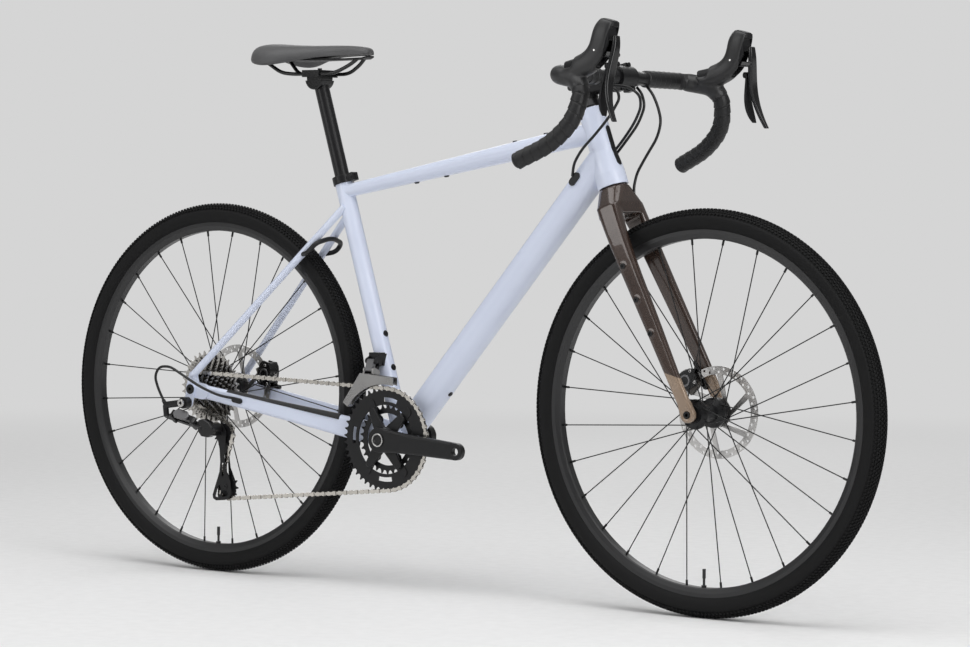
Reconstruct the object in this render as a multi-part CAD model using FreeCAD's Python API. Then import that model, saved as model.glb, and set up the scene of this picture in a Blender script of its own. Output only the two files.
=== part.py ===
import FreeCAD, Part
import math
import os

# Gravel bicycle with drop bars, disc brakes and a chain drive of two rings and eleven sprockets.
# Millimetres, +X forward, +Y to the rider's left, +Z up. The origin lies on the ground halfway
# between the axles, so the drive side is at negative Y.

Vector = FreeCAD.Vector
Y_AXIS = Vector(0, 1, 0)

# Overall geometry
WHEELBASE = 1100.0
BEAD_SEAT_DIAMETER = 622.0
TYRE_WIDTH = 40.0
CHAINSTAY_LENGTH = 450.0
BOTTOM_BRACKET_DROP = 75.0
SEAT_ANGLE = 73.0
HEAD_ANGLE = 70.0
FORK_RAKE = 52.0
FORK_LENGTH = 427.0
HEAD_TUBE_LENGTH = 144.0
SEAT_TUBE_LENGTH = 497.0

# Clearances
RUNNING_CLEARANCE = 0.05
MOVING_GAP = 0.4
SEAT_GAP = 0.1

# Frame tubes
HEAD_TUBE_LOWER_RADIUS = 27.5
HEAD_TUBE_UPPER_RADIUS = 23.0
HEAD_TUBE_LOWER_BAND = 24.0
HEAD_TUBE_TAPER = 40.0
BADGE_RANGE = (32.0, 106.0)
BADGE_HALF_WIDTH = 6.0
BADGE_THICKNESS = 1.2
HEADSET_BORE_UPPER = 20.9
HEADSET_BORE_LOWER = 25.0
HEADSET_BEARING_HEIGHT = 8.0
HEADSET_LOWER_GAP = 3.0
STEERER_RADIUS = 14.3
STEERER_LOWER_RADIUS = 19.0
STEERER_BORE = 11.5
SEAT_TUBE_RADIUS = 16.5
SEATPOST_RADIUS = 13.6
TUBE_WALL = 2.2
TUBE_ROUNDING = 0.42
TOP_TUBE_SEAT_HEIGHT = 471.0
TOP_TUBE_HEAD_DROP = 42.0
TOP_TUBE_SIZES = ((29.0, 23.0), (38.0, 37.0))
DOWN_TUBE_HEAD_RISE = 54.0
DOWN_TUBE_SIZES = ((48.0, 52.0), (46.0, 53.0))
SHELL_WIDTH = 68.0
SHELL_RADIUS = 21.5
SHELL_BORE = 17.0

# Rear stays and dropouts
REAR_SPACING = 142.0
DROPOUT_THICKNESS = 8.0
DROPOUT_RADIUS = 15.0
STAY_END_RADIUS = 14.5
CHAINSTAY_END_REACH = 26.0
STAY_PORT_REACH = 106.0
STAY_PORT_HEIGHT = 6.5
SEATSTAY_END_RISE = 25.0
SEATSTAY_RADIUS = 7.0
SEATSTAY_END_SPREAD = 77.0
SEATSTAY_TOP_HEIGHT = 442.0
SEATSTAY_TOP_SPREAD = 13.0
BRIDGE_RADIUS = 4.5
BRIDGE_ROUTE = ((0.72, 0.0, 0.0), (0.735, 20.0, 10.5), (0.787, 18.5, 12.4))
BRIDGE_CREST = (0.82, 16.5)
HANGER_THICKNESS = 4.5
HANGER_DROP = 26.0
HANGER_SETBACK = 6.0
HANGER_RADIUS = 9.5
HANGER_BORE_RADIUS = 5.0
AXLE_RADIUS = 6.0
AXLE_SLEEVE_RADIUS = 8.5
AXLE_BORE_RADIUS = 3.0
AXLE_BORE_DEPTH = 20.0

# Fittings on the frame: shares of a tube's length, with 1 for its upper face and -1 for its lower
SEAT_TUBE_BOLTS = (130.0, 194.0)
TOP_TUBE_BOLTS = ((0.29, -1), (0.41, -1), (0.69, 1), (0.81, 1))
DOWN_TUBE_BOLTS = ((0.17, 1), (0.33, 1), (0.43, 1), (0.2, -1))
TUBE_PORTS = ((-1, 0.912, 12.0, 27.0), (1, 0.92, 0.0, 32.0))
PORT_RADIUS = 6.5
PORT_HEIGHT = 2.5
GUARD_THICKNESS = 1.4
GUARD_RISE = 11.0

# Chainstay stations: distance from the rear axle, side offset, width and height
STAY_STATIONS = (
    (18.0, 73.5, 11.0, 25.0),
    (80.0, 66.0, 12.5, 27.0),
    (150.0, 57.5, 15.0, 29.0),
    (250.0, 45.0, 16.0, 34.0),
    (330.0, 35.0, 13.5, 39.0),
    (385.0, 30.0, 13.5, 41.0),
    (435.0, 26.0, 15.0, 38.0),
)

# Seat clamp
COLLAR_HEIGHT = 15.0
COLLAR_WALL = 3.0

# Wheels
RIM_WIDTH = 24.0
RIM_INNER_RADIUS = 299.0
RIM_FLANGE_HEIGHT = 5.5
RIM_WALL = 2.0
TYRE_WALL = 3.5
SPOKE_COUNT = 28
SPOKE_CROSSES = 2
SPOKE_RADIUS = 1.0
NIPPLE_RADIUS = 2.0
NIPPLE_LENGTH = 11.0
FLANGE_RADIUS = 26.0
SPOKE_CIRCLE = 22.0
FLANGE_THICKNESS = 3.0
HUB_BODY_RADIUS = 15.5
HUB_BEARING_RADIUS = 13.0
HUB_BEARING_WIDTH = 7.0
FRONT_SPACING = 100.0
FRONT_FLANGES = (-34.0, 22.0)
REAR_FLANGES = (-18.4, 34.0)
VALVE_LENGTH = 32.0
VALVE_RADIUS = 3.0

# Disc brakes
ROTOR_RADIUS = 80.0
ROTOR_THICKNESS = 1.8
ROTOR_BAND = 14.0
ROTOR_ARMS = 6
ROTOR_CARRIER_RADIUS = 26.0
ROTOR_HOLE_RADIUS = 2.3
FRONT_ROTOR_INSET = 10.5
REAR_ROTOR_INSET = 15.3
ROTOR_SEAT_RADIUS = 17.0
PAD_THICKNESS = 4.0
PAD_AIR_GAP = 0.5
PAD_LENGTH = 26.0
PAD_HEIGHT = 20.0
PAD_PLAY = 0.3
PAD_RISE = 2.0
CALIPER_INNER_WIDTH = 12.0
CALIPER_CORNER = 11.0
CALIPER_SINK = 1.5
REAR_CALIPER_SIZE = (58.0, 50.0)
FRONT_CALIPER_SIZE = (66.0, 40.0)
FRONT_CALIPER_RISE = 6.0
REAR_CALIPER_REACH = 68.0
REAR_PAD_ANGLE = 24.0
FRONT_PAD_ANGLE = 140.0

# Drive
CHAIN_PITCH = 12.7
ROLLER_RADIUS = 3.82
ROLLER_SEAT = 4.1
CHAIN_INNER_WIDTH = 2.2
CHAIN_PLATE = 0.8
CHAIN_PLATE_GAP = 0.05
CHAIN_PLATE_RADIUS = 4.1
CHAIN_WAIST = 2.9
CHAIN_PIN_RADIUS = 1.8
TOOTH_HEIGHT = 2.9
TOOTH_TIP_HALF = 0.8
SPROCKET_THICKNESS = 1.7
SPROCKET_TEETH = (11, 13, 15, 17, 19, 21, 23, 25, 27, 30, 34)
SPROCKET_SPACING = 3.74
SMALLEST_SPROCKET_INSET = 8.0
FREEHUB_RADIUS = 16.5
CHAIN_ON_SPROCKET = 2
BIG_RING_TEETH = 46
SMALL_RING_TEETH = 30
BIG_RING_Y = -50.0
SMALL_RING_Y = -43.6
RING_THICKNESS = 2.0
BIG_RING_BAND = 26.0
SMALL_RING_BAND = 9.0
RING_TAB_RADIUS = 7.5
RING_SLOTS = (0.0, 86.0, 180.0, 274.0)
RING_SLOT_SPAN = 12.0
RING_SLOT_INSET = (12.0, 20.0)
PULLEY_TEETH = 11
CRANK_LENGTH = 175.0
CRANK_ANGLE = -4.0
CRANK_INNER_Y = 60.5
CRANK_PEDAL_Y = 62.5
CRANK_THICKNESS = 12.5
CRANK_AXLE_WIDTH = 46.0
CRANK_NECK_RADIUS = 17.0
SPINDLE_WALL = 3.0
CRANK_PEDAL_WIDTH = 31.0
SPINDLE_RADIUS = 12.0
PEDAL_THREAD_RADIUS = 7.14
BIG_BOLT_CIRCLE = 55.0
SMALL_BOLT_CIRCLE = 40.0
RING_BOLT_RADIUS = 4.5
SPIDER_ANGLES = (50.0, 122.0, 238.0, 310.0)
CUP_WIDTH = 8.0

# Rear derailleur
GUIDE_PULLEY = Vector(-489, 0, 268)
TENSION_ANGLE = -88.0
CAGE_LENGTH = 100.0
CAGE_HALF_WIDTH = 6.0
CAGE_PLATE = 2.0
CAGE_FIN = ((-9, -14), (-10, 18), (-4, 23), (27, 24), (33, 20), (33, 14), (9, -32), (4, -40))
CAGE_PIVOT_OFFSET = Vector(-10, 0, 9)
LINK_LENGTH = 52.0
LINK_SPACING = 16.0
LINK_SLANT = 38.0
LINK_FALL = 12.0
LINK_THICKNESS = 11.0
LINK_HALF_WIDTH = 4.5
LINK_PIN_RADIUS = 2.0
LINK_LUG = 3.0
LINK_START = Vector(-582, -95, 304)

# Front derailleur
MECH_RING_GAP = 3.5
MECH_CAGE_HEIGHT = 16.5
MECH_CAGE_ANGLES = (78.0, 146.0)
MECH_CAGE_INNER = 4.6
MECH_CAGE_OUTER = 6.2
MECH_CAGE_PLATE = 1.4
MECH_PIVOT_X = -150.0
MECH_PIVOT_Y = -27.0
MECH_PIVOT_Z = 412.0
MECH_LINK_LENGTH = 17.0
MECH_LINK_ANGLE = 20.0
MECH_LINK_SPACING = (-11.0, 5.0)
MECH_LINK_WIDTH = 16.0
MECH_PIN_RADIUS = 2.0
MECH_EAR = 3.5

# Stem and handlebar
COVER_HEIGHT = 15.0
SPACER_HEIGHT = 3.0
STEM_CLAMP_HEIGHT = 40.0
STEM_LENGTH = 80.0
STEM_DROP_ANGLE = 6.0
STEM_WALL = 4.5
BAR_CLAMP_RADIUS = 15.9
BAR_CLAMP_WIDTH = 46.0
BAR_CLAMP_ZONE = 58.0
BAR_RADIUS = 11.9
TAPE_THICKNESS = 2.8
TAPE_START = 72.0
BAR_ROUTE = (
    Vector(-4, -206, 0),
    Vector(70, -214, -14),
    Vector(60, -233, -82),
    Vector(20, -243, -121),
    Vector(-43, -254, -150),
)

# Brake and shift levers, right hand, drawn from the bar clamp centre
HOOD_SPINE = (
    (Vector(32, -206, 5), 19.0, 34.0, 36.0),
    (Vector(71, -211, 14), 25.0, 35.0, 39.0),
    (Vector(97, -212, 35), 50.0, 35.0, 41.0),
    (Vector(110, -211, 66), 73.0, 38.0, 44.0),
    (Vector(118, -210, 87), 75.0, 29.0, 30.0),
)
HOOD_THICKNESS = 3.0
HOOD_EDGE = (86, -60, 130, 84)
LEVER_PIVOT = Vector(104, 0, 31)
LEVER_PIVOT_Y = -212.0
LEVER_HUB_RADIUS = 6.0
LEVER_HUB_WIDTH = 15.0
LEVER_PIN_RADIUS = 2.0
LEVER_SLOT_RADIUS = 13.0
LEVER_SPINE = (
    (Vector(131, -213, 60), 8.0, 15.0),
    (Vector(131, -217, 28), 9.0, 20.0),
    (Vector(128, -226, -12), 8.0, 21.0),
    (Vector(134, -235, -52), 8.0, 15.0),
    (Vector(148, -240, -84), 8.0, 9.0),
)
PADDLE_SPINE = (
    (Vector(121, -219, 8), 5.0, 14.0),
    (Vector(117, -224, -20), 4.5, 17.0),
    (Vector(118, -230, -50), 4.5, 24.0),
    (Vector(125, -236, -74), 4.0, 10.0),
)
PADDLE_PIN_RADIUS = 2.2
PADDLE_PIN_POINT = Vector(121, -217, 10)

# Fork blades: distance above the axle along the steering axis, forward offset, spread, depth, width
BLADE_SECTIONS = (
    (395.0, 1.0, 33.0, 46.0, 26.0),
    (330.0, 8.0, 43.0, 39.0, 19.0),
    (240.0, 20.0, 48.0, 34.0, 16.0),
    (120.0, 37.0, 53.0, 28.0, 13.5),
    (18.0, 51.0, 56.0, 24.0, 12.0),
)
CROWN_HEIGHT = 52.0
CROWN_ARCH_RADIUS = 376.0
CROWN_ARCH_WIDTH = 58.0
FORK_TIP_THICKNESS = 12.0
FORK_TIP_RADIUS = 14.0
BLADE_BOSS_RADIUS = 4.6
BLADE_BOSS_HEIGHT = 1.6
BLADE_BOSS_HEIGHTS = (282.0, 218.0, 154.0)
BLADE_BOSS_SETBACK = 6.0
BOSS_THREAD_RADIUS = 2.5
BOSS_THREAD_DEPTH = 10.0

# Seat
POST_INSERTION = 130.0
POST_HEAD_HEIGHT = 690.0
CRADLE_RADIUS = 17.0
CRADLE_WIDTH = 34.0
RAIL_RADIUS = 3.5
RAIL_SPREAD = 22.0
RAIL_HEIGHT = 8.0
RAIL_ROUTE = (
    Vector(-108, 40, 38),
    Vector(-72, 26, 11),
    Vector(-46, RAIL_SPREAD, RAIL_HEIGHT),
    Vector(52, RAIL_SPREAD, RAIL_HEIGHT),
    Vector(84, 14, 24),
    Vector(104, 8, 40),
)
SADDLE_BASE_THICKNESS = 3.0
SADDLE_BASE_SHARE = 0.76
SADDLE_SECTIONS = (
    (-134.0, 36.0, 39.0, 62.0),
    (-118.0, 62.0, 38.0, 66.0),
    (-84.0, 72.0, 37.0, 65.0),
    (-40.0, 58.0, 36.0, 63.0),
    (10.0, 33.0, 36.0, 62.0),
    (70.0, 21.0, 36.0, 60.0),
    (110.0, 18.0, 37.0, 56.0),
    (120.0, 13.0, 40.0, 52.0),
)

# Control lines
HOSE_RADIUS = 2.5
FRONT_HOSE_ROUTE = (
    Vector(374, 72, 914),
    Vector(390, 66, 901),
    Vector(404, 61, 880),
    Vector(416, 55, 853),
    Vector(412, 49, 824),
    Vector(394, 42, 792),
    Vector(380, 34, 762),
    Vector(378, 28, 738),
    Vector(380, 26, 722),
)
RIGHT_PORT_ROUTE = (
    Vector(380, -66, 912),
    Vector(402, -62, 904),
    Vector(404, -58, 889),
    Vector(384, -54, 862),
    Vector(350, -47, 831),
    Vector(312, -38, 802),
    Vector(291, -31, 778),
    Vector(284, -25, 756),
)
LEFT_UPPER_ROUTE = (
    Vector(380, -50, 912),
    Vector(408, -42, 911),
    Vector(424, -26, 897),
    Vector(414, -6, 876),
    Vector(386, 16, 849),
    Vector(352, 28, 817),
    Vector(324, 28, 788),
    Vector(301, 25, 758),
)
LEFT_LOWER_ROUTE = (
    Vector(370, 46, 912),
    Vector(382, 44, 901),
    Vector(390, 42, 879),
    Vector(378, 40, 848),
    Vector(352, 37, 815),
    Vector(326, 35, 785),
    Vector(306, 32, 760),
    Vector(291, 25, 742),
)
LOOP_ROUTE = (
    Vector(-452, -70, 337),
    Vector(-480, -80, 341),
    Vector(-520, -89, 356),
    Vector(-558, -93, 376),
    Vector(-592, -95, 393),
    Vector(-618, -96, 391),
    Vector(-629, -96, 373),
    Vector(-621, -96, 351),
)

# Places worked out from the driving sizes
TYRE_RADIUS = BEAD_SEAT_DIAMETER / 2 + TYRE_WIDTH
REAR_AXLE = Vector(-WHEELBASE / 2, 0, TYRE_RADIUS)
FRONT_AXLE = Vector(WHEELBASE / 2, 0, TYRE_RADIUS)
CRANK_AXLE = REAR_AXLE + Vector(
    math.sqrt(CHAINSTAY_LENGTH ** 2 - BOTTOM_BRACKET_DROP ** 2), 0, -BOTTOM_BRACKET_DROP)
HEAD_UP = Vector(-math.cos(math.radians(HEAD_ANGLE)), 0, math.sin(math.radians(HEAD_ANGLE)))
HEAD_FORWARD = Vector(HEAD_UP.z, 0, -HEAD_UP.x)
HEAD_FOOT = FRONT_AXLE - HEAD_FORWARD * FORK_RAKE
HEAD_BOTTOM = FORK_LENGTH + HEADSET_LOWER_GAP
HEAD_TOP = HEAD_BOTTOM + HEAD_TUBE_LENGTH
SEAT_UP = Vector(-math.cos(math.radians(SEAT_ANGLE)), 0, math.sin(math.radians(SEAT_ANGLE)))
SEAT_FORWARD = Vector(SEAT_UP.z, 0, -SEAT_UP.x)
STEM_MIDDLE = HEAD_TOP + COVER_HEIGHT + SPACER_HEIGHT + STEM_CLAMP_HEIGHT / 2
FRONT_ROTOR_Y = FRONT_SPACING / 2 - FRONT_ROTOR_INSET
REAR_ROTOR_Y = REAR_SPACING / 2 - REAR_ROTOR_INSET
SMALLEST_SPROCKET_Y = -REAR_SPACING / 2 + SMALLEST_SPROCKET_INSET
CHAIN_Y = SMALLEST_SPROCKET_Y + CHAIN_ON_SPROCKET * SPROCKET_SPACING
PAD_RADIUS = ROTOR_RADIUS - ROTOR_BAND + PAD_RISE
DROPOUT_INNER = REAR_SPACING / 2
DROPOUT_OUTER = DROPOUT_INNER + DROPOUT_THICKNESS
HANGER_POINT = REAR_AXLE + Vector(-HANGER_SETBACK, 0, -HANGER_DROP)
HANGER_OUTER_Y = -(DROPOUT_OUTER + HANGER_THICKNESS)


def head_point(along, forward=0.0, y=0.0):
    """Point at a height along the steering axis above the foot of the front axle on it."""
    return HEAD_FOOT + HEAD_UP * along + HEAD_FORWARD * forward + Vector(0, y, 0)


def seat_point(along, forward=0.0, y=0.0):
    """Point at a height along the seat tube above the crank axle."""
    return CRANK_AXLE + SEAT_UP * along + SEAT_FORWARD * forward + Vector(0, y, 0)


BAR_CENTRE = head_point(
    STEM_MIDDLE - STEM_LENGTH * math.sin(math.radians(STEM_DROP_ANGLE)),
    STEM_LENGTH * math.cos(math.radians(STEM_DROP_ANGLE)))
CRADLE_CENTRE = seat_point(POST_HEAD_HEIGHT)


# Shape helpers

def unit(vector):
    length_one = Vector(vector)
    length_one.normalize()
    return length_one


def cylinder(start, end, radius):
    axis = end - start
    return Part.makeCylinder(radius, axis.Length, start, axis)


def tube(start, end, outer, inner):
    return cylinder(start, end, outer).cut(cylinder(start, end, inner))


def cross_cylinder(point, radius, y_from, y_to):
    """Cylinder along Y through the X and Z of a point."""
    low = min(y_from, y_to)
    return Part.makeCylinder(radius, abs(y_to - y_from), Vector(point.x, low, point.z), Y_AXIS)


def cross_ring(point, outer, inner, y_from, y_to):
    return cross_cylinder(point, outer, y_from, y_to).cut(cross_cylinder(point, inner, y_from, y_to))


def polygon_face(points):
    return Part.Face(Part.makePolygon(list(points) + [points[0]]))


def holed_face(wires):
    """Flat face inside the first wire, open inside each of the others."""
    return Part.makeFace(wires, "Part::FaceMakerBullseye")


def spin(face, base, axis):
    """Turn a face drawn in the XZ plane about Z, then stand it on an axis."""
    solid = face.revolve(Vector(0, 0, 0), Vector(0, 0, 1), 360)
    solid.Placement = FreeCAD.Placement(base, FreeCAD.Rotation(Vector(0, 0, 1), axis))
    return solid


def spin_outline(outline, base, axis):
    """Solid of revolution from (radius, height) pairs."""
    return spin(polygon_face([Vector(radius, 0, height) for radius, height in outline]), base, axis)


def wheel_point(centre, radius, angle, y=0.0):
    """Point on a circle in the XZ plane, angle in degrees from +X towards +Z."""
    turn = math.radians(angle)
    return Vector(centre.x + radius * math.cos(turn), y, centre.z + radius * math.sin(turn))


def plate(start, end, start_radius, end_radius, y_from, y_to):
    """Flat link in the XZ plane: two round ends joined by their outer tangents."""
    low = min(y_from, y_to)
    start = Vector(start.x, low, start.z)
    end = Vector(end.x, low, end.z)
    ahead = unit(end - start)
    side = Vector(-ahead.z, 0, ahead.x)
    lean = (start_radius - end_radius) / (end - start).Length
    across = math.sqrt(1 - lean ** 2)
    normals = [ahead * lean + side * across, ahead * lean - side * across]
    start_points = [start + normal * start_radius for normal in normals]
    end_points = [end + normal * end_radius for normal in normals]
    edges = [
        Part.LineSegment(start_points[0], end_points[0]).toShape(),
        Part.Arc(end_points[0], end + ahead * end_radius, end_points[1]).toShape(),
        Part.LineSegment(end_points[1], start_points[1]).toShape(),
        Part.Arc(start_points[1], start - ahead * start_radius, start_points[0]).toShape(),
    ]
    return Part.Face(Part.Wire(edges)).extrude(Vector(0, abs(y_to - y_from), 0))


def rounded_section(centre, side, up, width, height, corner):
    """Rounded rectangle wire about a centre, drawn in the plane of two unit vectors."""
    corner = min(corner, 0.49 * width, 0.49 * height)
    half_width = width / 2
    half_height = height / 2

    def at(across, rise):
        return centre + side * across + up * rise

    edges = []
    bulge = corner * (1 - math.sqrt(0.5))
    signs = ((1, 1), (-1, 1), (-1, -1), (1, -1))
    for index, (across, rise) in enumerate(signs):
        on_side = at(across * half_width, rise * (half_height - corner))
        on_top = at(across * (half_width - corner), rise * half_height)
        middle = at(across * (half_width - bulge), rise * (half_height - bulge))
        first, last = (on_side, on_top) if index % 2 == 0 else (on_top, on_side)
        edges.append(Part.Arc(first, middle, last).toShape())
        next_across, next_rise = signs[(index + 1) % 4]
        if index % 2 == 0:
            follow = at(next_across * (half_width - corner), next_rise * half_height)
        else:
            follow = at(next_across * half_width, next_rise * (half_height - corner))
        edges.append(Part.LineSegment(last, follow).toShape())
    return Part.Wire(edges)


def loft(sections, ruled=False):
    return Part.makeLoft(list(sections), True, ruled)


def rounded_route(points, share=0.45):
    """Straight runs joined by tangent arcs as large as the shorter run allows, with the arc radii."""
    edges = []
    radii = []
    start = points[0]
    for before, corner, after in zip(points, points[1:], points[2:]):
        back = unit(before - corner)
        ahead = unit(after - corner)
        half_turn = (math.pi - back.getAngle(ahead)) / 2
        reach = share * min((before - corner).Length, (after - corner).Length)
        radius = reach / math.tan(half_turn)
        inward = unit(back + ahead)
        middle = corner + inward * (radius / math.cos(half_turn) - radius)
        edges.append(Part.LineSegment(start, corner + back * reach).toShape())
        edges.append(Part.Arc(corner + back * reach, middle, corner + ahead * reach).toShape())
        start = corner + ahead * reach
        radii.append(radius)
    edges.append(Part.LineSegment(start, points[-1]).toShape())
    return Part.Wire(edges), radii


def pipe(points, radius):
    route = rounded_route(points)[0]
    circle = Part.Circle(points[0], unit(points[1] - points[0]), radius)
    return route.makePipeShell([Part.Wire(circle.toShape())], True, False)


def hose(name, points, radius):
    """Round control line, with its volume and arc radii printed for comparison."""
    solid = pipe(points, radius)
    route, radii = rounded_route(points)
    expected = math.pi * radius ** 2 * route.Length
    print(name, "length", round(route.Length), "volume ratio", round(solid.Volume / expected, 4),
          "radii", [round(value) for value in radii])
    return solid


def mirrored(shape):
    return shape.mirror(Vector(0, 0, 0), Y_AXIS)


def both_sides(shape):
    return [shape, mirrored(shape)]


def compound(solids):
    return Part.makeCompound(list(solids))


def joined(shapes):
    shapes = list(shapes)
    return shapes[0].multiFuse(shapes[1:]).removeSplitter()


def cut_all(shape, tools):
    for tool in tools:
        shape = shape.cut(tool)
    return shape


def local_box(centre, along, length, across, height, y_from, y_to):
    """Box turned in the XZ plane, with its length and height on two unit vectors."""
    corners = []
    for a, b in ((-1, -1), (1, -1), (1, 1), (-1, 1)):
        corner = centre + along * (a * length / 2) + across * (b * height / 2)
        corners.append(Vector(corner.x, min(y_from, y_to), corner.z))
    return polygon_face(corners).extrude(Vector(0, abs(y_to - y_from), 0))


# Frame

def head_tube_outside(grow=0.0):
    band = HEAD_TUBE_LOWER_BAND
    lower = HEAD_TUBE_LOWER_RADIUS + grow
    upper = HEAD_TUBE_UPPER_RADIUS + grow
    outline = [(0, 0), (lower, 0), (lower, band), (upper, band + HEAD_TUBE_TAPER),
               (upper, HEAD_TUBE_LENGTH), (0, HEAD_TUBE_LENGTH)]
    return spin_outline(outline, head_point(HEAD_BOTTOM), HEAD_UP)


def head_tube():
    lower_seat = cylinder(
        head_point(HEAD_BOTTOM), head_point(HEAD_BOTTOM + HEADSET_BEARING_HEIGHT), HEADSET_BORE_LOWER)
    bore = cylinder(head_point(HEAD_BOTTOM), head_point(HEAD_TOP), HEADSET_BORE_UPPER)
    return cut_all(head_tube_outside(), [lower_seat, bore])


def seat_tube_outside():
    return cylinder(CRANK_AXLE, seat_point(SEAT_TUBE_LENGTH), SEAT_TUBE_RADIUS)


def shell_outside():
    return cross_cylinder(CRANK_AXLE, SHELL_RADIUS, -SHELL_WIDTH / 2, SHELL_WIDTH / 2)


def bottom_bracket_shell():
    return cross_ring(CRANK_AXLE, SHELL_RADIUS, SHELL_BORE, -SHELL_WIDTH / 2, SHELL_WIDTH / 2)


def seat_tube():
    bore = cylinder(CRANK_AXLE, seat_point(SEAT_TUBE_LENGTH), SEATPOST_RADIUS + RUNNING_CLEARANCE)
    return cut_all(seat_tube_outside(), [bore, shell_outside()])


def tube_outside(ends, sizes, inset=0.0):
    """Tapering tube of rounded section between two joints, filled."""
    ahead = unit(ends[1] - ends[0])
    up = Vector(-ahead.z, 0, ahead.x)
    sections = []
    for centre, (width, height) in zip(ends, sizes):
        width = width - 2 * inset
        height = height - 2 * inset
        corner = TUBE_ROUNDING * min(width, height)
        sections.append(rounded_section(centre, Y_AXIS, up, width, height, corner))
    return loft(sections)


def main_tube(ends, sizes, cutters):
    """Hollow tube coped to its neighbours."""
    return cut_all(tube_outside(ends, sizes).cut(tube_outside(ends, sizes, TUBE_WALL)), cutters)


TOP_TUBE_ENDS = (seat_point(TOP_TUBE_SEAT_HEIGHT), head_point(HEAD_TOP - TOP_TUBE_HEAD_DROP))
DOWN_TUBE_ENDS = (CRANK_AXLE, head_point(HEAD_BOTTOM + DOWN_TUBE_HEAD_RISE))


def top_tube():
    return main_tube(TOP_TUBE_ENDS, TOP_TUBE_SIZES, [seat_tube_outside(), head_tube_outside()])


def down_tube():
    return main_tube(DOWN_TUBE_ENDS, DOWN_TUBE_SIZES,
                     [seat_tube_outside(), head_tube_outside(), shell_outside()])


def chainstay(side, stations=STAY_STATIONS, grow=0.0):
    along = unit(CRANK_AXLE - REAR_AXLE)
    up = Vector(-along.z, 0, along.x)
    sections = []
    for distance, offset, width, height in stations:
        centre = REAR_AXLE + along * distance + Vector(0, side * offset, 0)
        width = width + 2 * grow
        height = height + 2 * grow
        sections.append(rounded_section(centre, Y_AXIS, up, width, height, 0.45 * width))
    return loft(sections)


def dropout(side):
    along = unit(CRANK_AXLE - REAR_AXLE)
    chain_end = REAR_AXLE + along * CHAINSTAY_END_REACH
    seat_end = REAR_AXLE + Vector(0, 0, SEATSTAY_END_RISE)
    inner = side * DROPOUT_INNER
    outer = side * DROPOUT_OUTER
    lower = plate(REAR_AXLE, chain_end, DROPOUT_RADIUS, STAY_END_RADIUS, inner, outer)
    upper = plate(REAR_AXLE, seat_end, DROPOUT_RADIUS, SEATSTAY_RADIUS + 1, inner, outer)
    return joined([lower, upper]).cut(cross_cylinder(REAR_AXLE, AXLE_RADIUS, inner, outer))


def seatstay_point(side, share):
    """Point on a seatstay's centre line, by its share of the way up from the dropout."""
    low = REAR_AXLE + Vector(0, side * SEATSTAY_END_SPREAD, SEATSTAY_END_RISE)
    high = seat_point(SEATSTAY_TOP_HEIGHT, 0, side * SEATSTAY_TOP_SPREAD)
    return low + (high - low) * share


def seatstay(side):
    return cylinder(seatstay_point(side, 0.0), seatstay_point(side, 1.0), SEATSTAY_RADIUS)


def finished_chainstay(side):
    return cut_all(chainstay(side), [shell_outside(), dropout(side),
                                     cross_cylinder(REAR_AXLE, AXLE_RADIUS + 3, -100, 100)])


def finished_seatstay(side):
    return cut_all(seatstay(side), [seat_tube_outside(), dropout(side), finished_chainstay(side)])


def frame_bearings():
    upper = spin_outline(
        [(STEERER_RADIUS + RUNNING_CLEARANCE, 0), (HEADSET_BORE_UPPER, 0),
         (HEADSET_BORE_UPPER, HEADSET_BEARING_HEIGHT),
         (STEERER_RADIUS + RUNNING_CLEARANCE, HEADSET_BEARING_HEIGHT)],
        head_point(HEAD_TOP - HEADSET_BEARING_HEIGHT), HEAD_UP)
    lower = spin_outline(
        [(STEERER_LOWER_RADIUS + RUNNING_CLEARANCE, 0), (HEADSET_BORE_LOWER, 0),
         (HEADSET_BORE_LOWER, HEADSET_BEARING_HEIGHT),
         (STEERER_LOWER_RADIUS + RUNNING_CLEARANCE, HEADSET_BEARING_HEIGHT)],
        head_point(HEAD_BOTTOM), HEAD_UP)
    half = SHELL_WIDTH / 2
    inner = SPINDLE_RADIUS + RUNNING_CLEARANCE
    cup = joined([cross_ring(CRANK_AXLE, SHELL_BORE, inner, half - CUP_WIDTH, half),
                  cross_ring(CRANK_AXLE, SHELL_RADIUS, inner, half, half + CUP_WIDTH)])
    return compound([upper, lower] + both_sides(cup))


def seat_clamp():
    low = seat_point(SEAT_TUBE_LENGTH - COLLAR_HEIGHT + 3)
    high = seat_point(SEAT_TUBE_LENGTH + 3)
    outer = SEAT_TUBE_RADIUS + COLLAR_WALL
    lug_centre = seat_point(SEAT_TUBE_LENGTH + 3 - COLLAR_HEIGHT / 2, outer + 3)
    lug = local_box(lug_centre, SEAT_FORWARD, 14, SEAT_UP, COLLAR_HEIGHT, -9, 9)
    collar = joined([cylinder(low, high, outer), lug])
    slot = local_box(lug_centre, SEAT_FORWARD, 20, SEAT_UP, COLLAR_HEIGHT + 2, -1, 1)
    bolt_line = seat_point(SEAT_TUBE_LENGTH + 3 - COLLAR_HEIGHT / 2, outer + 5)
    bolt = joined([cross_cylinder(bolt_line, 2.5, -9, 9), cross_cylinder(bolt_line, 4, -9, -12)])
    tools = [seat_tube_outside(), cylinder(low, high, SEATPOST_RADIUS + MOVING_GAP), slot,
             cross_cylinder(bolt_line, 2.5, -20, 20)]
    return compound([cut_all(collar, tools), bolt])


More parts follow.
